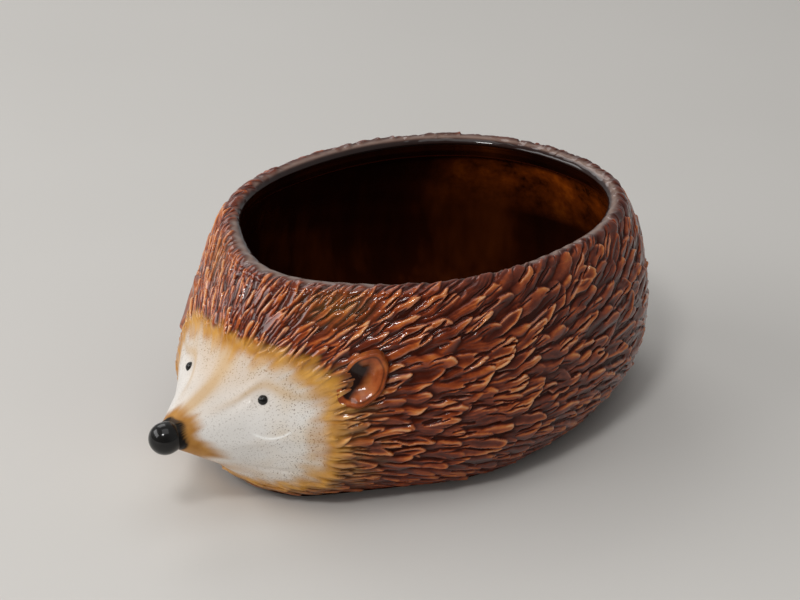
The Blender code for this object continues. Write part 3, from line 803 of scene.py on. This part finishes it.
upper_face = smooth_step(0.042, 0.060, face_z)
fringe = ripples(np.arctan2(base[..., 2] - FACE_HEIGHT, base[..., 0]), FRINGE)
run = ragged + fringe * (0.6 + 0.6 * upper_face) + 0.035 * face_waves(0.0065, 41)
tuft = smooth_step(-0.19 - 0.06 * upper_face, 0.04 - 0.04 * upper_face, run)
tuft *= 1 - smooth_step(0.00, 0.13, run)
warm = smooth_step(-0.55, -0.05, run + 0.10 * face_waves(0.013, 43)) * in_front
# painted shade: the brown is darker and its edges weaker towards the foot and the rump
painted_shade_foot_rump = 1 - smooth_step(0.004, 0.045, GRID_V) + 0.9 * smooth_step(0.12, 0.22, np.abs(GRID_U))
painted_shade_foot_rump = np.clip(painted_shade_foot_rump, 0, 1)
breaking = strength * (1 - 0.45 * painted_shade_foot_rump)
beyond_fringe = np.clip(ragged + 0.06 * waves(GRID_U, GRID_V, 0.009, 44), 0, None)
yellow = hill(beyond_fringe, 0, 0.17) * (1 - smooth_step(0.052, 0.066, face_z))
bridge = hill(face_x, 0, 0.0032 + 0.06 * np.clip(face_z - 0.046, 0, None)) * in_front
bridge *= smooth_step(0.036, 0.042, face_z) * (1 - 0.5 * smooth_step(0.047, 0.056, face_z))
nose_offset = base - np.array(NOSE_MIDDLE)
from_nose = np.sqrt((nose_offset**2).sum(-1))
round_nose = np.arctan2(nose_offset[..., 2], nose_offset[..., 0])
seat_length = 0.0170 + 0.0110 * smooth_step(0.002, -0.010, nose_offset[..., 2])
seat = 1 - smooth_step(0.60, 0.95, from_nose / seat_length * (1 + ripples(round_nose, STREAKS)))
soot = 1 - smooth_step(0.0078, 0.0092, from_nose + 0.0004 * np.sin(5 * round_nose))
throat = hill(face_z, 0.0185, 0.0050) * hill(face_x, 0, 0.014) * in_front
lids = hill(face_z, lid, 0.0017) * (0.35 + 0.65 * lid_reach) * smooth_step(0.003, 0.010, face_x)
lids *= (1 - smooth_step(0.034, 0.040, face_x)) * in_front
olive_u, olive_v = (np.abs(GRID_U) - 0.034) / 0.012, (GRID_V - WALL_CLIMB + 0.004) / 0.006
olive = np.exp(-(olive_u**2) - olive_v**2)
shades = {
    "edge": np.clip(break_edge, -1, 1) * breaking,
    "crown": np.clip(crown, -1, 1) * breaking,
    # painted shadow: a dark ring round the rear edge of each ear, where it meets the coat
    "pool": np.clip(pool, -1, 1) * strength + 0.9 * hill(ear_gap, 1.03, 0.07) * ear_shadow_side,
    # painted shade on the downward-facing sides of the spines
    "painted_underside_shade": np.clip(painted_underside_shade, -1, 1) * strength,
    "tone": tone * strength,
    "rising": (rising - MIDDLE_RISE) * breaking,
    # painted shade towards the foot and the rump
    "painted_shade_foot_rump": painted_shade_foot_rump,
    "warm": warm,
    "upper": upper_face * in_front,
    "fur": spiny,
    "tuft": np.clip(tuft + 0.7 * throat, 0, 1),
    "streak": 0.5 + 6 * fringe,
    "yellow": yellow * in_front,
    "bridge": np.clip(bridge + 0.55 * lids + 0.45 * bump_at(0.0, 0.0580, 0.0220, 0.0110), 0, 1),
    "seat": seat,
    "soot": soot,
    # painted highlight along the smile line
    "smile": smile_ridge_and_highlight,
    "olive": olive,
    "brow": np.exp(-((GRID_U / 0.055) ** 4)) * smooth_step(0.035, 0.060, GRID_V),
    "rim": 1 - fade_rim,
    # painted sheen: a pale line along the top of the rim's roll stands for its reflection
    "painted_lip_sheen": hill(crest - 0.0051, 3 * scallops, 0.0013),
    "lip_inside": smooth_step(0.0058, 0.0070, crest) + 0 * GRID_U,
}
print(len(shades), "shares, such as tuft on", int((shades["tuft"] > 0.5).sum()), "points")

# %% [markdown]
# The skin is made in six sheets, because one would be too heavy to handle. Their edges share the
# same points, and their shading directions are worked out on the whole skin, so no seam shows.

# %% Sheets of skin
SHEET_COLUMNS = COLUMNS // SHEETS
SHEET_NAMES = (
    "coat_rear", "coat_right_rear", "coat_right_front",
    "coat_brow", "coat_left_front", "coat_left_rear",
)


def skin_sheet(name, first, count, shades):
    """One sheet of the skin, from a flat grid whose corners are moved to their places."""
    bm = bmesh.new()
    bmesh.ops.create_grid(bm, x_segments=count, y_segments=ROWS, size=1.0)
    mesh = mesh_of(bm, name)
    flat = np.zeros(len(mesh.vertices) * 3, np.float32)
    mesh.vertices.foreach_get("co", flat)
    flat = flat.reshape(-1, 3)
    column = (np.round((flat[:, 0] + 1) / 2 * count).astype(int) + first) % COLUMNS
    row = np.round((flat[:, 1] + 1) / 2 * ROWS).astype(int)
    mesh.vertices.foreach_set("co", skin[row, column].astype(np.float32).ravel())
    mesh.update()
    mesh.shade_smooth()
    mesh.normals_split_custom_set_from_vertices(skin_out[row, column])
    for shade, grid in shades.items():
        layer = mesh.attributes.new(shade, "FLOAT", "POINT")
        layer.data.foreach_set("value", grid[row, column].astype(np.float32))
    return put_in_scene(name, mesh)


sheets = [
    skin_sheet(name, (2 * k - 1) * SHEET_COLUMNS // 2 % COLUMNS, SHEET_COLUMNS, shades)
    for k, name in enumerate(SHEET_NAMES)
]
print("triangles in a sheet:", 2 * SHEET_COLUMNS * ROWS)

# %% [markdown]
# ## Well and foot
#
# The inside, the floor and the foot ring are turned shapes, so they are made as rings: a circle of
# edges is extruded ring by ring, and each new ring is placed by its height and its distance from
# the axis. The rings run from the foot up inside the wall, over under the rim and down the hollow,
# so the core is one closed body.

# %% Rings of the core
FOOT_RING, FOOT_RECESS = 0.0070, 0.0015
RECESS_EDGE = FOOT_ROUNDING + FOOT_RING + FOOT_RECESS
FOOT_PROFILE = (  # how far in from the form, and height
    (RECESS_EDGE - FOOT_RECESS, 0.0),
    (FOOT_ROUNDING, 0.0),
    (0.0012, 0.0003),
    (0.0005, 0.0008),
    (0.0001, 0.0016),
)
LIP_DEPTH, LIP_SWELL, LIP_BELOW = 0.0052, 0.0008, 0.0010
RING_POINTS, START_RADIUS, SUNK = 480, 0.01, 0.0015
WELL_STEPS = [*np.linspace(0.005, 0.125, 25), *np.linspace(0.15, 0.8, 20), *np.linspace(0.83, 1.0, 14)]


def foot_edge(angle):
    return clay_radius(angle, np.full_like(angle, FOOT_ROUNDING))


def recess(angle, share):
    return around(angle, (foot_edge(angle) - RECESS_EDGE) * share, FOOT_RECESS)


def foot_ring(angle, step):
    inset, height = step
    return around(angle, foot_edge(angle) - inset, height)


def sunk_wall(angle, share):
    height = wall_height(angle, share)
    return around(angle, clay_radius(angle, height, -SUNK), height)


def under_rim(angle, bend):
    low = rim_height(angle) - LIP_BELOW
    outer, inner = clay_radius(angle, low) - 0.0012, inner_radius(angle, low)
    radius = (outer + inner) / 2 + (outer - inner) / 2 * math.cos(bend)
    return around(angle, radius, low + (RIM_ROLL + 0.0002) * math.sin(bend))


def well_wall(angle, share):
    top = rim_height(angle) - LIP_BELOW
    height = top + (FLOOR_HEIGHT - top) * share
    depth = top - height
    swell = LIP_SWELL * smooth_step(0, 0.0025, depth)
    swell *= 1 - smooth_step(LIP_DEPTH, LIP_DEPTH + 0.0014, depth)
    ripple = 0.00015 * np.sin(9 * angle + 40 * share) * math.sin(math.pi * min(1, share * 1.2))
    return around(angle, inner_radius(angle, height) + ripple - swell, height)


def well_floor(angle, share):
    edge = inner_radius(angle, np.full_like(angle, FLOOR_HEIGHT))
    return around(angle, edge * (1 - share), FLOOR_HEIGHT)


RINGS = (
    (recess, (0.35, 0.7, 1.0)),
    (foot_ring, FOOT_PROFILE),
    (sunk_wall, np.linspace(0.03, 0.97, 30)),
    (under_rim, [math.pi * k / 8 for k in range(9)]),
    (well_wall, WELL_STEPS),
    (well_floor, (0.15, 0.4, 0.7, 0.9)),
)


def extrude_ring(bm, loop, place, step):
    """Extrude a loop of edges, and put its points where `place` says for their angles and that step."""
    made = bmesh.ops.extrude_edge_only(bm, edges=loop)["geom"]
    verts = [g for g in made if isinstance(g, bmesh.types.BMVert)]
    found = np.array([v.co for v in verts])
    angle = np.arctan2(found[:, 0], AXIS_Y - found[:, 1])
    for vert, point in zip(verts, place(angle, step)):
        vert.co = point
    return [g for g in made if isinstance(g, bmesh.types.BMEdge)]


def finish_piece(bm, name):
    """Turn the faces outwards, and make a smoothly shaded object."""
    bmesh.ops.recalc_face_normals(bm, faces=bm.faces)
    mesh = mesh_of(bm, name)
    mesh.shade_smooth()
    return put_in_scene(name, mesh)


def make_core():
    bm = bmesh.new()
    bmesh.ops.create_circle(bm, segments=RING_POINTS, radius=START_RADIUS)
    for vert in bm.verts:
        vert.co.y += AXIS_Y
        vert.co.z = FOOT_RECESS
    loop = bm.edges[:]
    for place, steps in RINGS:
        for step in steps:
            loop = extrude_ring(bm, loop, place, step)
    bmesh.ops.holes_fill(bm, edges=[e for e in bm.edges if e.is_boundary], sides=0)
    core = finish_piece(bm, "core")
    places = np.array([v.co for v in core.data.vertices])
    angle = np.arctan2(places[:, 0], AXIS_Y - places[:, 1])
    depth = core.data.attributes.new("depth", "FLOAT", "POINT")
    depth.data.foreach_set("value", rim_height(angle) - places[:, 2])
    return core


core = make_core()
print("core triangles", sum(len(p.vertices) - 2 for p in core.data.polygons))

# %% [markdown]
# ## Nose, eyes and ears
#
# The nose and the eyes are beads of clay pressed into the wet face and covered in black glaze. A
# bead starts as a ball and is pressed a little flat, and a thin fillet of glaze has run down into
# its seat.

# %% Beads
NOSE_SIZE, NOSE_WAY, NOSE_STEM = 0.94, (0, -1, 0.05), 0.5
EYE_SINK, EYE_SQUASH, EYE_COLLAR = 0.0002, 0.8, 0.10


def bead(name, centre, radius, outward_way, squash=1.0, collar=0.0, stem=0.0):
    """A pressed ball that widens and lengthens a little towards its seat, where glaze has run down."""
    bm = bmesh.new()
    bmesh.ops.create_uvsphere(bm, u_segments=64, v_segments=48, radius=radius)
    for vert in bm.verts:
        height = vert.co.z / radius
        spread = 1 + collar * smooth_step(0.2, -0.7, height)
        vert.co.x *= spread
        vert.co.y *= spread
        vert.co.z *= squash if height > 0 else squash * (1 + stem)
    turn_to = Vector(outward_way).to_track_quat("Z", "Y").to_matrix().to_4x4()
    bmesh.ops.transform(bm, matrix=Matrix.Translation(centre) @ turn_to, verts=bm.verts)
    return finish_piece(bm, name)


def on_face(x, z):
    """The skin's point and outward direction nearest to a place seen from the front."""
    gap = np.hypot(skin[..., 0] - x, skin[..., 2] - z) + 10.0 * ~in_front
    row, column = np.unravel_index(gap.argmin(), gap.shape)
    return Vector(skin[row, column]), Vector(base_out[row, column])


nose = bead("nose", NOSE_MIDDLE, NOSE_RADIUS * NOSE_SIZE, NOSE_WAY, stem=NOSE_STEM)
eyes = {}
for side_name, side_sign in (("left", 1), ("right", -1)):
    spot, out = on_face(side_sign * EYE_SPACING, EYE_HEIGHT)
    middle = spot - out * EYE_SINK
    eyes[side_name] = bead(f"{side_name}_eye_bead", middle, EYE_RADIUS, out, EYE_SQUASH, EYE_COLLAR)
print("nose box", [round(c, 4) for c in nose.dimensions])

# %% [markdown]
# An ear is a pinched cup of clay. Its wall is thick and high towards the rear and above, and it
# opens towards the face. Its hollow is painted dark as shade, most on the side towards the face and
# in a ring under its rim. It is made from rings too, in a flat frame of radius 1 that is then laid
# into the almond on the head. The ears were pinched by hand, so the left one stands higher.

# %% Ears
EAR_RISE = {"left": 0.0036, "right": 0.0019}
EAR_POINTS, EAR_RINGS, EAR_SUNK = 128, 40, -0.45


def cup_level(radius, around_ear):
    """Height of the cup, 1 at the rim's highest point, and how much painted shade a place takes in its
    hollow.
    """
    rearward = 0.5 + 0.5 * math.cos(around_ear + 0.95)
    rim = 0.04 + 0.96 * float(smooth_step(0.08, 0.55, rearward))
    outer = 1 - float(smooth_step(0.86, 1.0, radius)) ** 1.6
    inner = float(smooth_step(0.0, 0.86, radius)) ** 1.5
    crest_wave = 1 + 0.04 * math.sin(5 * around_ear + 1.0)
    # painted shade: darker towards the middle, more on the side towards the face, and in a ring under
    # the rim
    hollow = (1 - rim * inner) * (1 - float(smooth_step(0.72, 0.86, radius)))
    hollow *= 0.45 + 0.55 * float(smooth_step(-0.35, 0.25, radius * math.sin(around_ear)))
    hollow += 0.50 * rim * float(hill(radius, 0.77, 0.045))
    fold = 0.10 * float(hill(radius, 0.50, 0.07)) * max(0.0, math.cos(around_ear + 0.2))
    return rim * outer * inner * crest_wave + fold, hollow


def make_ear(name, side_sign, rise):
    bm = bmesh.new()
    hollow_shade_layer = bm.verts.layers.float.new("hollow")
    bmesh.ops.create_circle(bm, segments=EAR_POINTS, radius=1.0)
    loop = bm.edges[:]
    radii = [1.0, *np.linspace(1.0, 0.04, EAR_RINGS)]
    for k, radius in enumerate(radii):
        if k:
            made = bmesh.ops.extrude_edge_only(bm, edges=loop)["geom"]
            loop = [g for g in made if isinstance(g, bmesh.types.BMEdge)]
        for vert in {v for e in loop for v in e.verts}:
            around_ear = math.atan2(vert.co.y, vert.co.x)
            level, hollow = cup_level(radius, around_ear)
            shift = 0.20 * (1 - radius)
            ragged_edge = 1 + 0.03 * math.sin(3 * around_ear + 0.6) + 0.02 * math.sin(7 * around_ear)
            vert.co.x = radius * math.cos(around_ear) * ragged_edge
            vert.co.y = radius * math.sin(around_ear) * ragged_edge + shift
            vert.co.z = level + 0.05 if k else EAR_SUNK
            vert[hollow_shade_layer] = hollow
    bmesh.ops.holes_fill(bm, edges=[e for e in bm.edges if e.is_boundary], sides=0)
    bmesh.ops.scale(bm, verts=bm.verts, vec=Vector((EAR_HALF_LENGTH, EAR_HALF_WIDTH, rise)))
    lean = Matrix.Translation((*EAR_SHIFT, 0)) @ Matrix.Rotation(EAR_LEAN, 4, "Z")
    mirror = Matrix.Diagonal((side_sign, 1, 1, 1))
    bmesh.ops.transform(bm, matrix=mirror @ ear_frame() @ lean, verts=bm.verts)
    return finish_piece(bm, name)


ears = {}
for side_name, side_sign in (("left", 1), ("right", -1)):
    ears[side_name] = make_ear(f"{side_name}_ear_cup", side_sign, EAR_RISE[side_name])
print("ear box", [round(c, 4) for c in ears["left"].dimensions])

# %% [markdown]
# ## Glazes
#
# Three runny glazes cover the clay: a brown one on the coat and inside, a milky one on the face,
# and black on the beads. All are glass over clay, so each has a clear coat. The brown one breaks:
# where it is thin, on edges, it turns light tan; where it is thick, in the cuts, it is nearly
# black. The measured edges and cuts of the skin drive that.

# %% Small node helpers
COAT_ROUGHNESS = 0.04


class Glaze:
    """A material with short ways to add nodes."""

    def __init__(self, name, roughness, coat, specular):
        self.material = bpy.data.materials.new(name)
        self.material.use_nodes = True
        self.nodes = self.material.node_tree.nodes
        self.links = self.material.node_tree.links
        self.shader = self.nodes["Principled BSDF"]
        self.shader.inputs["Roughness"].default_value = roughness
        self.shader.inputs["Coat Weight"].default_value = coat
        self.shader.inputs["Coat Roughness"].default_value = COAT_ROUGHNESS
        self.shader.inputs["Specular IOR Level"].default_value = specular
        self.place = self.nodes.new("ShaderNodeTexCoord").outputs["Object"]

    def put(self, socket, value):
        """Feed a socket from another node, or set it to a plain value."""
        if isinstance(value, bpy.types.NodeSocket):
            self.links.new(value, socket)
        else:
            socket.default_value = value

    def attribute(self, name):
        node = self.nodes.new("ShaderNodeAttribute")
        node.attribute_name = name
        return node.outputs["Fac"]

    def noise(self, scale, detail=3.0, roughness=0.5, stretch=None):
        node = self.nodes.new("ShaderNodeTexNoise")
        node.inputs["Scale"].default_value = scale
        node.inputs["Detail"].default_value = detail
        node.inputs["Roughness"].default_value = roughness
        source = self.place
        if stretch:
            mapping = self.nodes.new("ShaderNodeMapping")
            mapping.inputs["Scale"].default_value = stretch
            self.links.new(source, mapping.inputs["Vector"])
            source = mapping.outputs["Vector"]
        self.links.new(source, node.inputs["Vector"])
        return node.outputs["Fac"]

    def math(self, operation, a, b=0.0, clamp=False):
        node = self.nodes.new("ShaderNodeMath")
        node.operation = operation
        node.use_clamp = clamp
        self.put(node.inputs[0], a)
        self.put(node.inputs[1], b)
        return node.outputs[0]

    def part(self, name, weight):
        """One of the skin's shares, times a weight."""
        return self.math("MULTIPLY", self.attribute(name), weight)

    def ramp(self, value, stops):
        node = self.nodes.new("ShaderNodeValToRGB")
        elements = node.color_ramp.elements
        while len(elements) < len(stops):
            elements.new(0.5)
        for element, (position, colour) in zip(elements, stops):
            element.position = position
            element.color = (*colour, 1)
        self.links.new(value, node.inputs["Fac"])
        return node.outputs["Color"]

    def between(self, value, low, high):
        """0 at `low`, 1 at `high`, and straight in between."""
        node = self.nodes.new("ShaderNodeMapRange")
        node.inputs["From Min"].default_value = low
        node.inputs["From Max"].default_value = high
        self.links.new(value, node.inputs["Value"])
        return node.outputs["Result"]

    def mix(self, share, a, b):
        """Lay the colour `b` over `a` by that share."""
        node = self.nodes.new("ShaderNodeMix")
        node.data_type = "RGBA"
        self.put(node.inputs["Factor"], share)
        self.put(node.inputs[6], a)
        self.put(node.inputs[7], b)
        return node.outputs[2]

    def feed(self, name, value):
        self.put(self.shader.inputs[name], value)

    def bump(self, height, strength, distance):
        node = self.nodes.new("ShaderNodeBump")
        node.inputs["Strength"].default_value = strength
        node.inputs["Distance"].default_value = distance
        self.links.new(height, node.inputs["Height"])
        self.feed("Normal", node.outputs["Normal"])


print("glaze helpers:", ", ".join(name for name in vars(Glaze) if name[0] != "_"))

# %% [markdown]
# The coat's glaze first: a ramp from black through red-brown to tan. Edges and crowns push it up
# and cuts push it down. Painted shade pushes it down on the undersides and towards the foot and the
# rump, and each spine has a tone of its own. Over it lie the pale haze on the sharpest edges, the
# yellow next to the face, and the rim with a painted sheen along its lip.

# %% Brown glaze of the coat
BROWN_BASE = 0.342
# the undersides, the foot and the rump are pushed darker here as painted shade
BROWN_WEIGHTS = (
    ("painted_shade_foot_rump", -0.085), ("edge", 0.11), ("crown", 0.14), ("pool", -0.15),
    ("painted_underside_shade", -0.14), ("tone", 0.08), ("rising", 0.13), ("brow", 0.075),
)
GRAIN_WEIGHT, DRIFT_WEIGHT = 0.22, 0.17
BROWN_STOPS = (
    (0.08, (0.034, 0.0050, 0.0015)),
    (0.26, (0.062, 0.0090, 0.0030)),
    (0.42, (0.135, 0.0205, 0.0050)),
    (0.56, (0.275, 0.0500, 0.0090)),
    (0.74, (0.480, 0.1370, 0.0280)),
    (0.92, (0.610, 0.2750, 0.1050)),
)
PALE_HAZE, OLIVE_TINT = (0.470, 0.300, 0.215, 1), (0.190, 0.098, 0.012, 1)
RIM_TONES = (0.044, 0.014, 0.009, 1), (0.100, 0.036, 0.022, 1)
# the pale tone is a painted sheen on the rim's lip
LIP_SHEEN_TONE, LIP_INSIDE_TONE = (0.360, 0.250, 0.200, 1), (0.018, 0.0060, 0.0040, 1)
STRAW_TONES = (0.20, 0.075, 0.012, 1), (0.70, 0.42, 0.14, 1)


def brown_on(g):
    value = BROWN_BASE
    for name, weight in BROWN_WEIGHTS:
        value = g.math("ADD", value, g.part(name, weight))
    grain = g.math("SUBTRACT", g.noise(330.0, 3.0, 0.6, (1.0, 1.0, 3.0)), 0.5)
    value = g.math("ADD", value, g.math("MULTIPLY", grain, GRAIN_WEIGHT))
    drift = g.math("SUBTRACT", g.between(g.noise(150.0, 3.0), 0.3, 0.7), 0.5)
    value = g.math("ADD", value, g.math("MULTIPLY", drift, DRIFT_WEIGHT), clamp=True)
    brown = g.ramp(value, BROWN_STOPS)
    sharp = g.between(g.attribute("edge"), 0.60, 1.0)
    brown = g.mix(g.math("MULTIPLY", sharp, 0.30), brown, PALE_HAZE)
    brown = g.mix(g.part("olive", 0.28), brown, OLIVE_TINT)
    rim = g.mix(g.noise(90.0), *RIM_TONES)
    # lay the painted pale sheen along the lip
    rim = g.mix(g.part("painted_lip_sheen", 0.55), rim, LIP_SHEEN_TONE)
    rim = g.mix(g.attribute("lip_inside"), rim, LIP_INSIDE_TONE)
    brown = g.mix(g.attribute("rim"), brown, rim)
    straw = g.mix(g.between(g.attribute("edge"), -0.4, 0.8), *STRAW_TONES)
    return g.mix(g.part("yellow", 0.62), brown, straw)


# %% [markdown]
# The face's milky glaze is greyer above the eyes and warmer near the fringe, where it also has more
# brown specks. The bridge of the snout is brown, and the smile line is painted almost white, as a
# highlight.

# %% Milky glaze of the face
MILK_TONES = (0.62, 0.590, 0.553, 1), (0.735, 0.707, 0.67, 1)
UPPER_TONE, WARM_TONE = (0.46, 0.395, 0.350, 1), (0.54, 0.39, 0.22, 1)
SPECK_TONE = (0.15, 0.095, 0.065, 1)
# the near-white tone is a painted highlight
BRIDGE_TONE, SMILE_HIGHLIGHT_TONE = (0.50, 0.31, 0.13, 1), (0.90, 0.89, 0.86, 1)


def milk_on(g):
    milk = g.mix(g.noise(70.0, 3.0), *MILK_TONES)
    milk = g.mix(g.part("upper", 0.55), milk, UPPER_TONE)
    warmed = g.math("MULTIPLY", g.attribute("warm"), g.between(g.noise(95.0, 3.0), 0.32, 0.62))
    milk = g.mix(g.math("MULTIPLY", warmed, 0.42), milk, WARM_TONE)
    specks = g.between(g.noise(1700.0, 1.0), 0.60, 0.68)
    specks = g.math("MULTIPLY", specks, g.math("ADD", 0.30, g.part("warm", 0.55)))
    milk = g.mix(specks, milk, SPECK_TONE)
    milk = g.mix(g.part("bridge", 0.80), milk, BRIDGE_TONE)
    # painted highlight along the smile line
    return g.mix(g.part("smile", 0.75), milk, SMILE_HIGHLIGHT_TONE)


# %% [markdown]
# Both meet in one material, with the honey-coloured tufts where the two glazes ran into each other.
# The coat is wet and shiny where it stands proud, and the face is more matt.

# %% Coat glaze
HONEY_TONES = (0.32, 0.115, 0.008, 1), (0.58, 0.300, 0.052, 1)
SEAT_TONES = (0.26, 0.095, 0.014, 1), (0.52, 0.270, 0.070, 1)
SOOT_TONE = (0.006, 0.005, 0.004, 1)


def coat_glaze():
    g = Glaze("coat_glaze", roughness=0.30, coat=0.35, specular=0.09)
    honey_share = g.math("ADD", g.between(g.noise(160.0), 0.35, 0.65), g.attribute("streak"))
    honey = g.mix(g.math("MULTIPLY", honey_share, 0.5), *HONEY_TONES)
    skin_tone = g.mix(g.attribute("fur"), milk_on(g), brown_on(g))
    skin_tone = g.mix(g.part("tuft", 0.93), skin_tone, honey)
    skin_tone = g.mix(g.attribute("seat"), skin_tone, g.mix(g.noise(200.0), *SEAT_TONES))
    g.feed("Base Color", g.mix(g.attribute("soot"), skin_tone, SOOT_TONE))
    proud = g.between(g.attribute("pool"), 0.35, -0.25)
    wet = g.math("ADD", 0.04, g.math("MULTIPLY", proud, 0.62))
    wet = g.math("MULTIPLY", g.attribute("fur"), g.math("ADD", wet, g.part("brow", 0.42)))
    wet = g.math("ADD", wet, g.part("rim", 0.24))
    g.feed("Coat Weight", g.math("ADD", 0.06, wet, clamp=True))
    g.feed("Roughness", g.math("SUBTRACT", 0.46, g.part("fur", 0.18)))
    g.bump(g.noise(900.0, 2.0), 0.10, 0.0003)
    return g.material


glaze_for_coat = coat_glaze()
for sheet in sheets:
    sheet.data.materials.append(glaze_for_coat)
print("nodes in the coat glaze:", len(glaze_for_coat.node_tree.nodes))

# %% [markdown]
# Inside, the brown glaze lies thick and dark. High on the rear wall, below the lip, it is amber,
# and a fine red line follows the lip.

# %% Well glaze
DEEP_STOPS = (
    (0.35, (0.009, 0.0022, 0.0010)),
    (0.55, (0.024, 0.0042, 0.0010)),
    (0.72, (0.080, 0.0160, 0.0024)),
)
AMBER_STOPS = (
    (0.35, (0.030, 0.0060, 0.0010)),
    (0.55, (0.260, 0.0470, 0.0038)),
    (0.72, (0.600, 0.1250, 0.0075)),
)
RED_LINE_DEPTH, RED_LINE_FALL, RED_LINE_TONE = LIP_DEPTH + 0.0012, 1400.0, (0.200, 0.035, 0.012, 1)


def well_glaze():
    g = Glaze("well_glaze", roughness=0.40, coat=0.6, specular=0.0)
    deep = g.ramp(g.noise(26.0, 4.0, 0.6, (1.0, 1.0, 0.35)), DEEP_STOPS)
    amber = g.ramp(g.noise(55.0, 4.0, 0.7), AMBER_STOPS)
    depth = g.attribute("depth")
    split = g.nodes.new("ShaderNodeSeparateXYZ")
    g.put(split.inputs["Vector"], g.place)
    rearward = g.between(split.outputs["Y"], 0.084, 0.108)
    high_up = g.math("MULTIPLY", rearward, g.between(depth, 0.034, 0.012))
    below_lip = g.between(depth, LIP_DEPTH + 0.001, LIP_DEPTH + 0.004)
    deep = g.mix(g.math("MULTIPLY", below_lip, high_up), deep, amber)
    off_line = g.math("MULTIPLY", g.math("SUBTRACT", depth, RED_LINE_DEPTH), RED_LINE_FALL)
    red_line = g.math("SUBTRACT", 1.0, g.math("ABSOLUTE", off_line), clamp=True)
    g.feed("Base Color", g.mix(g.math("MULTIPLY", red_line, 0.8), deep, RED_LINE_TONE))
    g.feed("Coat Weight", g.math("MULTIPLY", g.between(depth, 0.030, 0.008), 0.7))
    g.bump(g.noise(120.0, 2.0), 0.10, 0.0005)
    return g.material


glaze_for_core = well_glaze()
core.data.materials.append(glaze_for_core)
print("nodes in the well glaze:", len(glaze_for_core.node_tree.nodes))

# %% [markdown]
# The ears have a warm brown glaze, painted nearly black as shade in the hollow. The beads are black,
# with just enough unevenness for their highlights to look like glaze.

# %% Ear and bead glazes
EAR_STOPS = (
    (0.30, (0.130, 0.023, 0.006)),
    (0.50, (0.270, 0.059, 0.013)),
    (0.75, (0.430, 0.130, 0.030)),
)
EAR_HOLLOW_SHADE_TONE = (0.010, 0.0024, 0.0012, 1)
BEAD_TONES = (0.003, 0.003, 0.003, 1), (0.009, 0.008, 0.007, 1)


def ear_glaze():
    g = Glaze("ear_glaze", roughness=0.30, coat=0.45, specular=0.14)
    warm_tone = g.ramp(g.noise(140.0, 3.0), EAR_STOPS)
    # painted shade in the ear's hollow
    hollow = g.between(g.attribute("hollow"), 0.20, 0.72)
    g.feed("Base Color", g.mix(hollow, warm_tone, EAR_HOLLOW_SHADE_TONE))
    g.bump(g.noise(500.0, 2.0), 0.12, 0.0004)
    return g.material


def bead_glaze():
    g = Glaze("bead_glaze", roughness=0.25, coat=0.55, specular=0.1)
    g.feed("Base Color", g.mix(g.noise(300.0), *BEAD_TONES))
    g.bump(g.noise(220.0, 1.0), 0.05, 0.0004)
    return g.material


glaze_for_ears, glaze_for_beads = ear_glaze(), bead_glaze()
for ear in ears.values():
    ear.data.materials.append(glaze_for_ears)
for piece in (nose, *eyes.values()):
    piece.data.materials.append(glaze_for_beads)
print("glazes:", sorted(material.name for material in bpy.data.materials))

# %% [markdown]
# ## Hand over to the frame
#
# Every piece rides on the one body, and the CAD node that it stands for is hidden.

# %% Ride and replace
handed = [(piece, "bowl_body", "brown_glaze") for piece in (*sheets, core)]
for side_name in ("left", "right"):
    handed.append((ears[side_name], f"{side_name}_ear", "ear_glaze"))
    handed.append((eyes[side_name], f"{side_name}_eye", "black_glaze"))
handed.append((nose, "nose_ball", "black_glaze"))
for piece, node, slot in handed:
    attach(piece, "root")
    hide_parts(node)
print(len(handed), "pieces handed over")
